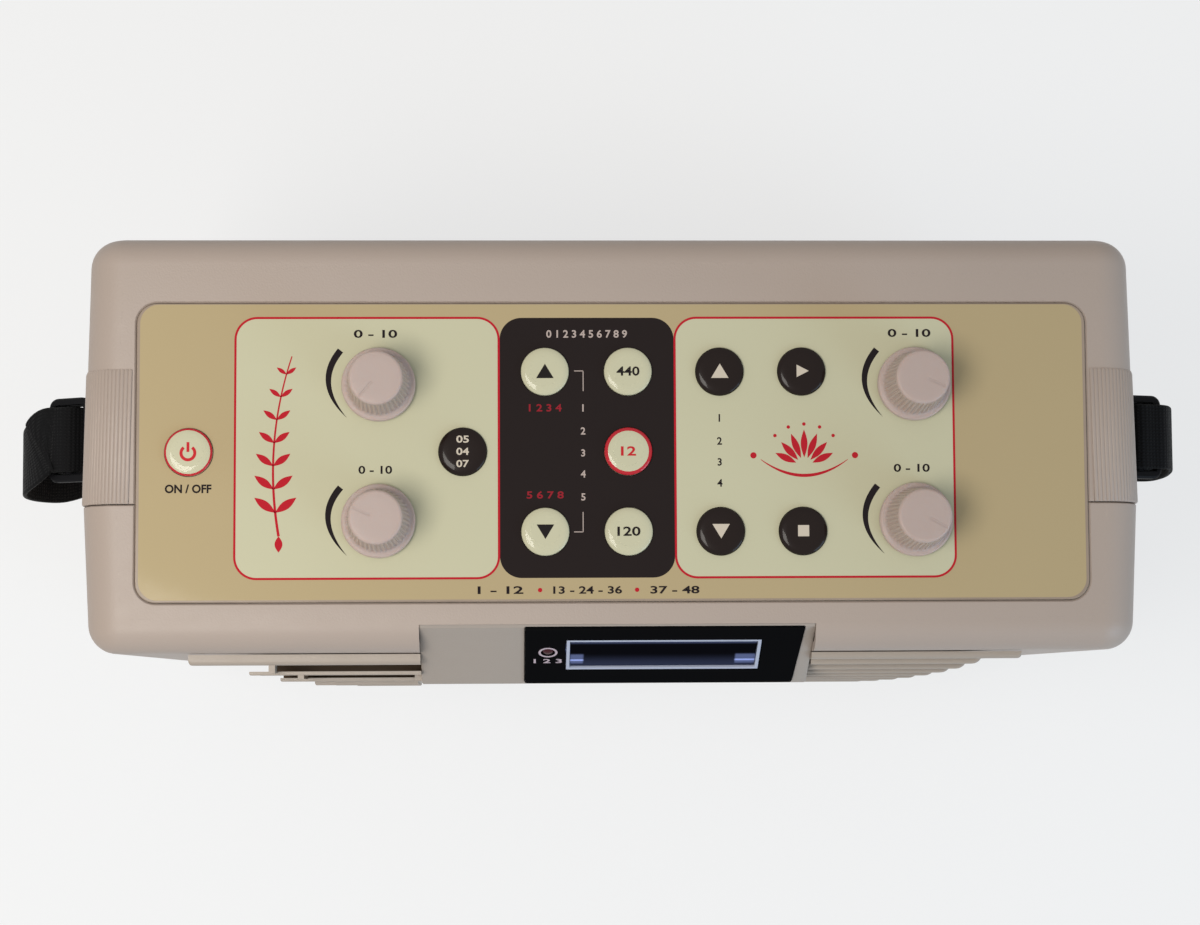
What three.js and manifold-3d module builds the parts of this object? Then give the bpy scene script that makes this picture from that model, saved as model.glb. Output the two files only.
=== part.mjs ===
// An electronic tanpura with a rhythm section, in millimetres with +Z up.
// The origin lies on the floor under the middle of the whole unit, strap included.
// Inside the unit's own group, y is 0 at the seam between its front and rear shells, the front
// faces -Y and the control panel faces up.
import * as THREE from 'three';
import { mergeVertices } from 'three/addons/utils/BufferGeometryUtils.js';
import Module from 'manifold-3d';

const wasm = await Module();
wasm.setup();

// Housing
const bezelWidth = 112.6;
const flankWidth = 96.1;
const housingWidth = bezelWidth + 2 * flankWidth;
const housingTop = 209.7;
const frontDepth = 42.2;
const rearDepth = 77.1;
const wall = 2.6;
const edgeRadius = 11;
const faceRadius = 8;
const frontNarrowing = 2.1;
const rearNarrowing = 1.7;
const seamGap = 0.3;
const clearance = 0.3;
const overrun = 20;
const weld = 0.5;

// Control panel and the recess that it lies in
const panelSideMargin = 16.3;
const panelFrontMargin = 14.3;
const panelRearMargin = 19.6;
const panelThickness = 2.5;
const panelCorner = 5.8;
const panelProud = 0.3;
const floorThickness = 2.4;
const floorMargin = 4;

// Keys
const keyDiameter = 13.4;
const keyFloorSlack = 0.7;
const keyRim = 0.9;
const keyDome = 0.8;
const keyFlangeLip = 1.3;
const keyFlangeThickness = 1.2;
const keyPlungerDiameter = 4;
const keyTravel = 0.7;
const keyRowAhead = 8.15;
const keyRowInset = 19.75;
const powerShare = -0.4453;
const modeShare = -0.1591;
const styleShare = -0.0727;
const memoryShare = 0.0147;
const rhythmShare = 0.1114;
const startShare = 0.198;

// Key board
const boardThickness = 1.6;
const switchSide = 6;
const switchHeight = 4.4;
const keyBoardMargin = 7.5;
const keyBoardEndMargin = 9.05;
const boardPostRadius = 3.2;

// Knobs
const knobLeftShare = -0.2471;
const knobRightShare = 0.3168;
const knobRowAhead = 5;
const knobRowInset = 23.5;
const knobHeight = 19.2;
const knobLift = 0.6;
const knobFlangeDiameter = 21.1;
const knobFlangeHeight = 2.4;
const knobFlangeRound = 0.6;
const knobFlangeLip = 1.6;
const knobTaper = 1.35;
const knobCrownChamfer = 0.5;
const knobFluteDepth = 0.35;
const knobBoreDepth = 10.5;
const pointerWidth = 0.9;
const pointerDepth = 0.5;
const pointerStart = 2;
const pointerEnd = 7;

// Potentiometers
const shaftDiameter = 6;
const shaftReach = 11;
const shaftFoot = 2;
const potDiameter = 16.4;
const potHeight = 8;
const bushingWall = 0.8;
const bushingSlack = 0.4;
const nutWall = 1.7;
const nutHeight = 1.6;
const nutSlack = 0.6;

// Display bezel: a sloped face let into the front's upper edge, over a keel that fades into
// the front wall
const bezelOffset = 0.8;
const bezelSetback = 7.4;
const bezelLand = 0.6;
const bezelLip = 0.5;
const slopeRun = 15.8;
const slopeDrop = 29;
const keelBelly = 59.7;
const keelBellyDepth = 7.5;
const keelEnd = 109.7;
const bezelWall = 2.2;
const notchMargin = 2.5;

// Lens, display and tempo lamp
const lensLeftMargin = 29.9;
const lensRightMargin = 2.9;
const lensTaper = 1.3;
const lensFootMargin = 1.4;
const lensThickness = 1.8;
const lensSeat = 1;
const windowLeftMargin = 11.9;
const windowRightMargin = 11.8;
const windowTopMargin = 6.4;
const windowFootMargin = 8.1;
const windowBar = 1.4;
const windowSink = 0.2;
const displaySink = 0.8;
const displayFrameDepth = 3;
const displayModuleRim = 2.7;
const displayModuleDepth = 6;
const lampInset = 6.6;
const lampDrop = 13;
const lampDiameter = 3.4;
const lampLength = 6;
const lampFlange = 4.4;

// Speaker grilles: a top plate and level blades whose ends follow a curved wing outline
const grilleDrop = 12.2;
const bladeCount = 12;
const bladePitch = 7.6;
const bladeHeight = 4.6;
const wingSpanShare = 0.562;
const wingFallShare = 0.64;
const wingCurveShare = 0.27;
const openingShare = 0.84;
const leftPlateShare = 0.693;
const rightPlateShare = 0.637;
const rimThickness = 2;
const rimWidth = 3;
const leftBladeDepth = 1.4;
const rightBladeDepth = 2;
const grilleBulge = 8.2;
const rightPlateReachShare = 0.25;
const rightRisePower = 0.65;
const leftPlateReachShare = 0.38;
const leftReachShares = [0.75, 0.77, 0.97, 0.98, 0.99, 1.05, 1.07, 1.08, 1.06, 0.98, 0.82, 0.55];
const leftThinBlades = 2;
const leftWebInset = 6.2;
const postTopShare = 0.5;
const postShoulderShare = 0.7;

// Speakers
const speakerTuck = 6.8;
const speakerDrop = 47.5;
const speakerFlangeRadius = 38.5;
const speakerFlangeWidth = 3;
const speakerFlangeThickness = 2.2;
const speakerBasketDepth = 18;
const magnetRadius = 22.5;
const magnetDepth = 14;
const speakerWall = 2;
const coneThickness = 1.1;
const coneGap = 1;
const coneTravel = 0.8;
const coneNeckRadius = 9.5;
const dustCapRise = 4.5;

// Ribbed bands over the rear shell's top edges
const bandReach = 14;
const bandFall = 37.7;
const bandDepth = 38.4;
const bandThickness = 1.4;
const bandProud = 0.15;
const ribPitch = 1.42;
const ribHeight = 0.35;

// Strap anchors, buckles and strap
const anchorBehindSeam = 24.3;
const anchorDrop = 22;
const anchorWidth = 36;
const anchorTall = 30;
const anchorDepth = 9.5;
const anchorProud = 1.6;
const anchorWall = 1.5;
const anchorRim = 3;
const anchorBarRadius = 1.8;
const anchorBarInset = 3.4;
const webbingWidth = 20;
const webbingThickness = 1.4;
const buckleLength = 15;
const buckleWidth = 26;
const buckleThickness = 2.6;
const buckleCorner = 3;
const buckleSlotWidth = 21.6;
const buckleSlotLength = 4.2;
const buckleOut = 7;
const buckleUp = 3.5;
const strapStandoff = 4.4;

// Feet, case screws, sockets, main board and transformer
const footDiameter = 18;
const footChamfer = 1;
const footHeight = 4;
const footStemDiameter = 4.4;
const footStemLength = 4;
const footSideInset = 24.4;
const footEndInset = 16.2;
const screwSideInset = 14.4;
const screwLowInset = 19.7;
const screwHighInset = 20;
const screwTubeRadius = 5.5;
const screwSleeveRadius = 3.5;
const screwHeadRadius = 2.9;
const screwHeadHeight = 2.2;
const screwShankRadius = 1.4;
const screwHoleRadius = 1.75;
const screwLength = 22;
const screwSeat = 10;
const screwSlotWidth = 0.9;
const screwSlotDepth = 0.9;
const socketPlateWidth = 92;
const socketPlateHeight = 32;
const socketPlateThickness = 1.6;
const socketPlateRise = 22.7;
const socketFlange = 3;
const socketSpreadShare = 0.283;
const inletWidth = 21;
const inletHeight = 12;
const inletCorner = 3;
const inletDepth = 17;
const inletWell = 12;
const inletWall = 2;
const jackRadius = 5;
const jackBoreRadius = 3.25;
const jackDepth = 22;
const jackBoreDepth = 18;
const socketProud = 0.8;
const mainBoardSideInset = 56.4;
const mainBoardRearInset = 21.1;
const mainBoardDepth = 50;
const mainBoardGap = 12;
const mainBoardLift = 8;
const heatSinkWidth = 44;
const heatSinkDepth = 12;
const heatSinkHeight = 26;
const capacitorRadius = 8;
const capacitorHeight = 20;
const transformerSideInset = 48.4;
const transformerRearInset = 43.1;
const coreWidth = 54;
const coreDepth = 20;
const coreHeight = 45;
const coilWidth = 34;
const coilDepth = 38;
const coilHeight = 30;
const transformerFootWidth = 68;
const transformerFootHeight = 2;
const cableWidth = 26;
const cableThickness = 1;
const cableShare = 0.5;
const cableDrop = 18;
const cableReach = 4;

// Worked out from the sizes above
const housingBottom = footHeight + clearance;
const panelWidth = housingWidth - 2 * panelSideMargin;
const panelFront = frontDepth - panelFrontMargin;
const panelRear = rearDepth - panelRearMargin;
const panelDepth = panelFront + panelRear;
const panelBehindSeam = (panelRear - panelFront) / 2;
const panelTop = housingTop + panelProud;
const recessFloor = panelTop - panelThickness - clearance;
const floorUnder = recessFloor - floorThickness;
const potTop = floorUnder - clearance;
const potFoot = potTop - potHeight;
const keyBoardTop = potFoot - clearance;
const keyRowRear = panelRear - keyRowInset;
const keyRows = { rear: keyRowRear, middle: (keyRowRear - keyRowAhead) / 2,
  front: -keyRowAhead };
const knobRows = { rear: panelRear - knobRowInset, front: -knobRowAhead };
const strapRun = rearDepth + strapStandoff;
const unitFront = frontDepth + clearance + Math.max(...leftReachShares) * grilleBulge;
const unitRear = strapRun + webbingThickness / 2;

// Columns of the controls, as distances from the panel's middle
const powerColumn = powerShare * panelWidth;
const modeColumn = modeShare * panelWidth;
const styleColumn = styleShare * panelWidth;
const memoryColumn = memoryShare * panelWidth;
const rhythmColumn = rhythmShare * panelWidth;
const startColumn = startShare * panelWidth;
const knobColumnLeft = knobLeftShare * panelWidth;
const knobColumnRight = knobRightShare * panelWidth;

// Counts
const rodSides = 12;
const hiddenSides = 10;
const smallSides = 8;
const roundSteps = 3;
const faceSteps = 3;
const keySides = 16;
const knobFlutes = 30;
const speakerSides = 18;

function asSolid(part) {
  if (!part.isBufferGeometry) return part;
  const loose = part.index ? part.toNonIndexed() : part;
  const bare = new THREE.BufferGeometry();
  bare.setAttribute('position', loose.getAttribute('position').clone());
  const closed = mergeVertices(bare);
  return new wasm.Manifold(new wasm.Mesh({
    numProp: 3,
    vertProperties: closed.attributes.position.array,
    triVerts: new Uint32Array(closed.index.array),
  }));
}

function join(...parts) {
  return parts.map(asSolid).reduce((whole, part) => whole.add(part));
}

function cut(base, ...tools) {
  return tools.map(asSolid).reduce((whole, tool) => whole.subtract(tool), asSolid(base));
}

function toGeometry(part) {
  if (part.isBufferGeometry) return part;
  const mesh = part.getMesh();
  const geometry = new THREE.BufferGeometry();
  geometry.setAttribute('position', new THREE.BufferAttribute(mesh.vertProperties, 3));
  geometry.setIndex(new THREE.BufferAttribute(mesh.triVerts, 1));
  geometry.computeVertexNormals();
  return geometry;
}

// A range that runs outwards on the side given, 1 on the right and -1 on the left.
function flank(side, near, far) {
  return side > 0 ? [near, far] : [-far, -near];
}

function block([x0, x1], [y0, y1], [z0, z1]) {
  const geometry = new THREE.BoxGeometry(x1 - x0, y1 - y0, z1 - z0);
  return geometry.translate((x0 + x1) / 2, (y0 + y1) / 2, (z0 + z1) / 2);
}

function rodZ(radius, [x, y], [z0, z1], sides = rodSides) {
  const geometry = new THREE.CylinderGeometry(radius, radius, z1 - z0, sides);
  geometry.rotateX(Math.PI / 2);
  return geometry.translate(x, y, (z0 + z1) / 2);
}

function rodY(radius, [x, z], [y0, y1], sides = rodSides) {
  const geometry = new THREE.CylinderGeometry(radius, radius, y1 - y0, sides);
  return geometry.translate(x, (y0 + y1) / 2, z);
}

function polygon(points) {
  return new THREE.Shape(points.map(([a, b]) => new THREE.Vector2(a, b)));
}

function roundedRectangle(width, height, radius, [cx, cy] = [0, 0]) {
  const [x, y] = [width / 2, height / 2];
  const shape = new THREE.Shape();
  shape.absarc(cx + x - radius, cy - y + radius, radius, -Math.PI / 2, 0, false);
  shape.absarc(cx + x - radius, cy + y - radius, radius, 0, Math.PI / 2, false);
  shape.absarc(cx - x + radius, cy + y - radius, radius, Math.PI / 2, Math.PI, false);
  shape.absarc(cx - x + radius, cy - y + radius, radius, Math.PI, Math.PI * 1.5, false);
  shape.closePath();
  return shape;
}

// Prisms of a shape drawn in the plane across the axis named, between two places on that axis.
function prismZ(shape, [z0, z1]) {
  const options = { depth: z1 - z0, bevelEnabled: false, curveSegments: roundSteps };
  return new THREE.ExtrudeGeometry(shape, options).translate(0, 0, z0);
}

function prismY(shape, [y0, y1]) {
  const options = { depth: y1 - y0, bevelEnabled: false, curveSegments: roundSteps };
  return new THREE.ExtrudeGeometry(shape, options).rotateX(Math.PI / 2).translate(0, y1, 0);
}

function prismX(shape, [x0, x1]) {
  const options = { depth: x1 - x0, bevelEnabled: false, curveSegments: roundSteps };
  const turn = new THREE.Matrix4().makeBasis(
    new THREE.Vector3(0, 1, 0), new THREE.Vector3(0, 0, 1), new THREE.Vector3(1, 0, 0));
  return new THREE.ExtrudeGeometry(shape, options).applyMatrix4(turn).translate(x0, 0, 0);
}

// A body of revolution about an axis along Y, from [radius, y] pairs in order from axis to axis.
function turnedY(profile, sides) {
  const points = profile.map(([radius, y]) => new THREE.Vector2(radius, y));
  return new THREE.LatheGeometry(points, sides);
}

function turnedZ(profile, sides) {
  return turnedY(profile, sides).rotateX(Math.PI / 2);
}

// One shell's outer or inner form: the rounded section runs from the seam to its wall, which
// is rounded off, and its sides draw in on the way. It runs to the front or, turned, the rear.
function shellBlank(toRear, offset, reach, narrowing) {
  const width = housingWidth - 2 * offset;
  const height = housingTop - housingBottom - 2 * offset;
  const face = faceRadius - offset;
  const depth = reach - offset;
  const geometry = new THREE.ExtrudeGeometry(
    roundedRectangle(width, height, edgeRadius - offset),
    { depth: depth - face, bevelThickness: face, bevelSize: face, bevelOffset: -face,
      bevelSegments: faceSteps, curveSegments: roundSteps });
  const place = geometry.getAttribute('position');
  for (let i = 0; i < place.count; i += 1) {
    const along = Math.max(place.getZ(i), 0) / reach;
    place.setX(i, place.getX(i) * (1 - (2 * narrowing * along) / housingWidth));
  }
  geometry.rotateX(toRear ? -Math.PI / 2 : Math.PI / 2);
  return geometry.translate(0, 0, (housingTop + housingBottom) / 2);
}

// What both shells share under the panel: the floor of the recess, and the holes in it.
function panelFloor([y0, y1]) {
  const half = panelWidth / 2 + floorMargin;
  return block([-half, half], [y0, y1], [floorUnder, housingTop - wall + weld]);
}

function panelRecess() {
  const shape = roundedRectangle(panelWidth + 2 * clearance, panelDepth + 2 * clearance,
    panelCorner + clearance, [0, panelBehindSeam]);
  return prismZ(shape, [recessFloor, panelTop + overrun]);
}

const keys = [
  ['power_key', powerColumn, 'middle'],
  ['mode_key', modeColumn, 'middle'],
  ['style_up_key', styleColumn, 'rear'],
  ['style_down_key', styleColumn, 'front'],
  ['pitch_key', memoryColumn, 'rear'],
  ['memory_key', memoryColumn, 'middle'],
  ['tempo_key', memoryColumn, 'front'],
  ['rhythm_up_key', rhythmColumn, 'rear'],
  ['rhythm_down_key', rhythmColumn, 'front'],
  ['start_key', startColumn, 'rear'],
  ['stop_key', startColumn, 'front'],
];

// Each knob's name, place and the clock angle that its pointer is stored at.
const knobs = [
  ['drone_volume', knobColumnLeft, knobRows.rear, 220.7],
  ['drone_tone', knobColumnLeft, knobRows.front, 292.8],
  ['drum_volume', knobColumnRight, knobRows.rear, 112.7],
  ['drum_bass', knobColumnRight, knobRows.front, 118.4],
];

function keyHoles(diameter, span, sides) {
  return keys.map(([, x, row]) => rodZ(diameter / 2, [x, keyRows[row]], span, sides));
}

function potHoles(diameter, span) {
  return knobs.map(([, x, y]) => rodZ(diameter / 2, [x, y], span));
}

const bushingDiameter = shaftDiameter + 2 * clearance + 2 * bushingWall;
const nutAcross = bushingDiameter + 2 * nutWall;
const nutCorner = nutAcross / Math.sqrt(3);

function controlPanel() {
  const shape = roundedRectangle(panelWidth, panelDepth, panelCorner, [0, panelBehindSeam]);
  const through = [recessFloor - overrun, panelTop + overrun];
  const plate = prismZ(shape, [recessFloor + clearance, panelTop]);
  return cut(plate, ...keyHoles(keyDiameter + 2 * clearance, through, keySides),
    ...potHoles(2 * nutCorner + 2 * nutSlack, through));
}

const postRowShare = 0.44;
const postColumnShares = [-0.82, -0.24, 0.26, 0.72];
const keyBoardLeft = powerColumn - keyBoardMargin;
const keyBoardRight = knobColumnRight + potDiameter / 2 + keyBoardMargin;
const keyBoardFront = keyRows.front - keyBoardEndMargin;
const keyBoardRear = keyRows.rear + keyBoardEndMargin;

function keyBoardPosts(row) {
  const centre = (keyBoardLeft + keyBoardRight) / 2;
  const reach = (keyBoardRight - keyBoardLeft) / 2;
  return postColumnShares.map((share) => rodZ(boardPostRadius,
    [centre + share * reach, keyRows.middle + row * postRowShare * (keyBoardRear - keyBoardFront)],
    [keyBoardTop + clearance, floorUnder + weld], smallSides));
}

const grilleTop = housingTop - grilleDrop;
const wingSpan = wingSpanShare * flankWidth;

// The wing outline's reach from the bezel's side, at a share of the way down the grille.
function wingReach(share) {
  return wingSpan * (1 - wingFallShare * share - wingCurveShare * share * share);
}

const grilleHeight = bladeCount * bladePitch;
const wingShares = [0, 0.2, 0.4, 0.6, 0.8, 1];

// A wing in the plane of the front wall, drawn in from the grille's own outline by a margin
// and ended at a share of the grille's height.
function wingShape(side, margin, endShare) {
  const inner = bezelWidth / 2 + clearance;
  const edge = wingShares.map((share) => [
    inner - margin + wingReach(share * endShare),
    grilleTop - bladeHeight - margin - share * endShare * grilleHeight]);
  const points = [[inner + margin, edge[0][1]], ...edge,
    [inner + margin, edge[edge.length - 1][1]]];
  return polygon(points.map(([x, z]) => [bezelOffset + side * x, z]));
}

function grilleOpening(side) {
  const shape = wingShape(side, rimWidth, openingShare);
  return prismY(shape, [-frontDepth - overrun, -frontDepth + wall + weld]);
}

function frontShell() {
  const outer = cut(shellBlank(false, 0, frontDepth, frontNarrowing),
    block([-housingWidth, housingWidth], [-seamGap / 2, overrun],
      [housingBottom - overrun, housingTop + overrun]));
  const floorFront = panelBehindSeam - panelDepth / 2 - floorMargin;
  const bosses = screwPlaces().map((place) =>
    rodY(screwTubeRadius, place, [wall - weld - frontDepth, -seamGap / 2]));
  const pilots = screwPlaces().map((place) =>
    rodY(screwShankRadius + clearance, place, [screwSeat - screwLength - clearance, overrun],
      smallSides));
  const hollow = cut(outer, shellBlank(false, wall, frontDepth, frontNarrowing));
  const filled = join(hollow, panelFloor([floorFront, -seamGap / 2]), ...bosses,
    ...keyBoardPosts(-1));
  const bezelHalf = bezelWidth / 2 + clearance;
  const notch = block([bezelOffset - bezelHalf, bezelOffset + bezelHalf],
    [-frontDepth - overrun, bezelSetback - frontDepth + clearance],
    [notchFoot, housingTop + overrun]);
  const through = [floorUnder - overrun, panelTop + overrun];
  return cut(filled, panelRecess(), notch, grilleOpening(1), grilleOpening(-1), ...pilots,
    ...keyHoles(keyDiameter + 2 * keyFloorSlack, through, hiddenSides),
    ...potHoles(bushingDiameter + 2 * bushingSlack, through), ...footHoles());
}

function screwPlaces() {
  const column = housingWidth / 2 - screwSideInset;
  const rows = [housingBottom + screwLowInset, housingTop - screwHighInset];
  return rows.flatMap((z) => [[-column, z], [column, z]]);
}

function footPlaces() {
  const column = housingWidth / 2 - footSideInset;
  const rows = [footEndInset - frontDepth, rearDepth - footEndInset];
  return rows.flatMap((y) => [[-column, y], [column, y]]);
}

function footHoles() {
  return footPlaces().map((place) => rodZ(footStemDiameter / 2 + clearance, place,
    [housingBottom - overrun, housingBottom + wall + weld]));
}

// The bands follow the housing's section: level, round the edge, then down the side. A place
// on that line is found from its distance along it and its height off it.
const bandInnerEdge = housingWidth / 2 - bandReach;
const bandBottom = housingTop - bandFall;
const bandFlat = housingWidth / 2 - edgeRadius - bandInnerEdge;
const bandArc = (edgeRadius * Math.PI) / 2;
const bandSide = housingTop - edgeRadius - bandBottom;

function bandPoint(distance, lift) {
  const [cx, cz] = [housingWidth / 2 - edgeRadius, housingTop - edgeRadius];
  if (distance < bandFlat) return [bandInnerEdge + distance, housingTop + lift];
  if (distance > bandFlat + bandArc)
    return [housingWidth / 2 + lift, cz - (distance - bandFlat - bandArc)];
  const angle = (distance - bandFlat) / edgeRadius;
  const radius = edgeRadius + lift;
  return [cx + radius * Math.sin(angle), cz + radius * Math.cos(angle)];
}

function bandInside(margin, lift) {
  const arc = Array.from({ length: roundSteps + 1 }, (_, i) =>
    bandPoint(bandFlat + (bandArc * i) / roundSteps, lift));
  return [[bandInnerEdge - margin, housingTop + lift], ...arc,
    [housingWidth / 2 + lift, bandBottom - margin]];
}

function sideBand(side) {
  const length = bandFlat + bandArc + bandSide;
  const steps = 2 * Math.round(length / ribPitch);
  const outside = Array.from({ length: steps + 1 }, (_, i) =>
    bandPoint((length * i) / steps, bandProud + (i % 2) * ribHeight));
  const inside = bandInside(0, bandProud - bandThickness).reverse();
  const outline = [...outside, ...inside].map(([x, z]) => [side * x, z]);
  return prismY(polygon(outline), [seamGap / 2, bandDepth]);
}

function bandPocket(side) {
  const inside = bandInside(clearance, bandProud - bandThickness - clearance);
  const outside = bandInside(clearance, overrun).reverse();
  const outline = [...inside, ...outside].map(([x, z]) => [side * x, z]);
  return prismY(polygon(outline), [-overrun, bandDepth + clearance]);
}

// The anchor is a black box let into the side wall, open outwards, with a bar across it.
const anchorFace = housingWidth / 2 + anchorProud;
const anchorHeight = bandBottom - anchorDrop;
const anchorRows = [anchorBehindSeam - anchorWidth / 2, anchorBehindSeam + anchorWidth / 2];
const anchorLevels = [anchorHeight - anchorTall / 2, anchorHeight + anchorTall / 2];
const barColumn = anchorFace - anchorBarInset;

function grow([low, high], by) {
  return [low - by, high + by];
}

function strapAnchor(side) {
  const box = block(flank(side, anchorFace - anchorDepth, anchorFace), anchorRows, anchorLevels);
  const rim = block(flank(side, housingWidth / 2 + clearance, anchorFace),
    grow(anchorRows, anchorRim), grow(anchorLevels, anchorRim));
  const well = block(flank(side, anchorFace - anchorDepth + anchorWall, anchorFace + overrun),
    grow(anchorRows, -anchorWall), grow(anchorLevels, -anchorWall));
  const bar = rodY(anchorBarRadius, [side * barColumn, anchorHeight], anchorRows, smallSides);
  return join(cut(join(box, rim), well), bar);
}

function anchorHole(side) {
  return block(flank(side, anchorFace - anchorDepth - clearance, anchorFace + overrun),
    grow(anchorRows, clearance), grow(anchorLevels, clearance));
}

function rearShell() {
  const outer = cut(shellBlank(true, 0, rearDepth, rearNarrowing),
    block([-housingWidth, housingWidth], [-overrun, seamGap / 2],
      [housingBottom - overrun, housingTop + overrun]));
  const floorRear = panelBehindSeam + panelDepth / 2 + floorMargin;
  const bosses = screwPlaces().map((place) =>
    rodY(screwTubeRadius, place, [seamGap / 2, rearDepth - wall + weld]));
  const sleeves = screwPlaces().map((place) =>
    rodY(screwSleeveRadius, place, [screwSeat, rearDepth + overrun]));
  const holes = screwPlaces().map((place) =>
    rodY(screwHoleRadius, place, [-overrun, screwSeat + weld], smallSides));
  const hollow = cut(outer, shellBlank(true, wall, rearDepth, rearNarrowing));
  const stands = mainBoardCorners().map((place) => rodZ(boardPostRadius, place,
    [housingBottom + wall - weld, mainBoardFoot - clearance], smallSides));
  const filled = join(hollow, panelFloor([seamGap / 2, floorRear]), ...bosses,
    ...keyBoardPosts(1), ...stands);
  const through = [floorUnder - overrun, panelTop + overrun];
  const socketHole = block(
    grow([-socketPlateWidth / 2, socketPlateWidth / 2], clearance - socketFlange),
    [rearDepth - wall - weld, rearDepth + overrun],
    grow([socketRow - socketPlateHeight / 2, socketRow + socketPlateHeight / 2],
      clearance - socketFlange));
  return cut(filled, panelRecess(), bandPocket(1), bandPocket(-1), anchorHole(1), anchorHole(-1),
    socketHole, ...sleeves, ...holes, ...keyHoles(keyDiameter + 2 * keyFloorSlack, through, hiddenSides),
    ...potHoles(bushingDiameter + 2 * bushingSlack, through), ...footHoles());
}

// Keys, in their own frame: z is 0 at the panel's face and the key goes down when pressed.
const keyFlangeTop = floorUnder - clearance - panelTop;
const keyPlungerFoot = keyBoardTop + switchHeight + keyTravel + clearance - panelTop;

const domeShares = [0.92, 0.6];

function keyCap() {
  const radius = keyDiameter / 2;
  const dome = domeShares.map((share) => [radius * share,
    keyRim + keyDome * (1 - share * share)]);
  return turnedZ([[0, keyPlungerFoot], [keyPlungerDiameter / 2, keyPlungerFoot],
    [radius + keyFlangeLip, keyFlangeTop - keyFlangeThickness],
    [radius + keyFlangeLip, keyFlangeTop], [radius, keyFlangeTop], [radius, keyRim],
    ...dome, [0, keyRim + keyDome]], keySides);
}

function keyBoard() {
  const board = block([keyBoardLeft, keyBoardRight], [keyBoardFront, keyBoardRear],
    [keyBoardTop - boardThickness, keyBoardTop]);
  const switches = keys.map(([, x, row]) => block(
    [x - switchSide / 2, x + switchSide / 2],
    [keyRows[row] - switchSide / 2, keyRows[row] + switchSide / 2],
    [keyBoardTop - weld, keyBoardTop + switchHeight]));
  return join(board, ...switches);
}

// Knobs, in their own frame: z is 0 at the panel's face and the pointer looks along +Y.
function knobBody() {
  const sides = 2 * knobFlutes;
  const foot = knobFlangeHeight + knobLift;
  const cone = knobFlangeDiameter / 2 - knobFlangeLip;
  const crown = cone - knobTaper;
  const rings = [
    [knobFlangeDiameter / 2, knobLift, 0],
    [knobFlangeDiameter / 2 - knobFlangeRound, foot, 0],
    [cone, foot, knobFluteDepth],
    [crown, knobHeight - knobCrownChamfer, knobFluteDepth],
    [crown - knobCrownChamfer, knobHeight, 0],
  ];
  const points = rings.flatMap(([radius, z, flute]) => Array.from({ length: sides }, (_, i) => {
    const angle = (i / sides) * 2 * Math.PI;
    const reach = radius - (i % 2) * flute;
    return [reach * Math.cos(angle), reach * Math.sin(angle), z];
  }));
  const faces = [];
  for (let ring = 0; ring < rings.length - 1; ring += 1) {
    for (let i = 0; i < sides; i += 1) {
      const [a, b] = [ring * sides + i, ring * sides + ((i + 1) % sides)];
      faces.push([a, b, b + sides], [a, b + sides, a + sides]);
    }
  }
  const [low, high] = [points.length, points.length + 1];
  points.push([0, 0, knobLift], [0, 0, knobHeight]);
  const top = (rings.length - 1) * sides;
  for (let i = 0; i < sides; i += 1) {
    const next = (i + 1) % sides;
    faces.push([low, next, i], [high, top + i, top + next]);
  }
  const body = new THREE.BufferGeometry();
  body.setAttribute('position', new THREE.Float32BufferAttribute(points.flat(), 3));
  body.setIndex(faces.flat());
  const bore = rodZ(shaftDiameter / 2 + clearance, [0, 0],
    [-overrun, knobLift + knobBoreDepth]);
  const pointer = block([-pointerWidth / 2, pointerWidth / 2], [pointerStart, pointerEnd],
    [knobHeight - pointerDepth, knobHeight + overrun]);
  return cut(body, bore, pointer);
}

function potShaft() {
  return rodZ(shaftDiameter / 2, [0, 0], [potFoot + shaftFoot - panelTop, shaftReach]);
}

function potBody() {
  const body = rodZ(potDiameter / 2, [0, 0], [potFoot - panelTop, potTop - panelTop]);
  const bushing = rodZ(bushingDiameter / 2, [0, 0],
    [potTop - weld - panelTop, recessFloor + clearance + nutHeight - panelTop]);
  const nut = rodZ(nutCorner, [0, 0],
    [recessFloor + clearance - panelTop, recessFloor + clearance + nutHeight - panelTop], 6);
  const bore = rodZ(shaftDiameter / 2 + clearance, [0, 0],
    [potFoot + shaftFoot - clearance - panelTop, overrun]);
  return cut(join(body, bushing, nut), bore);
}

// Display bezel. Its section is drawn in the y-z plane.
const slopeTop = [bezelSetback - frontDepth - bezelLand, housingTop - bezelLip];
const slopeFoot = [slopeTop[0] - slopeRun, slopeTop[1] - slopeDrop];
const slopeAngle = Math.atan2(slopeDrop, slopeRun);
const notchFoot = slopeTop[1] - slopeDrop - notchMargin;
const bezelLeft = bezelOffset - bezelWidth / 2;
const bezelRight = bezelOffset + bezelWidth / 2;

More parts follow.
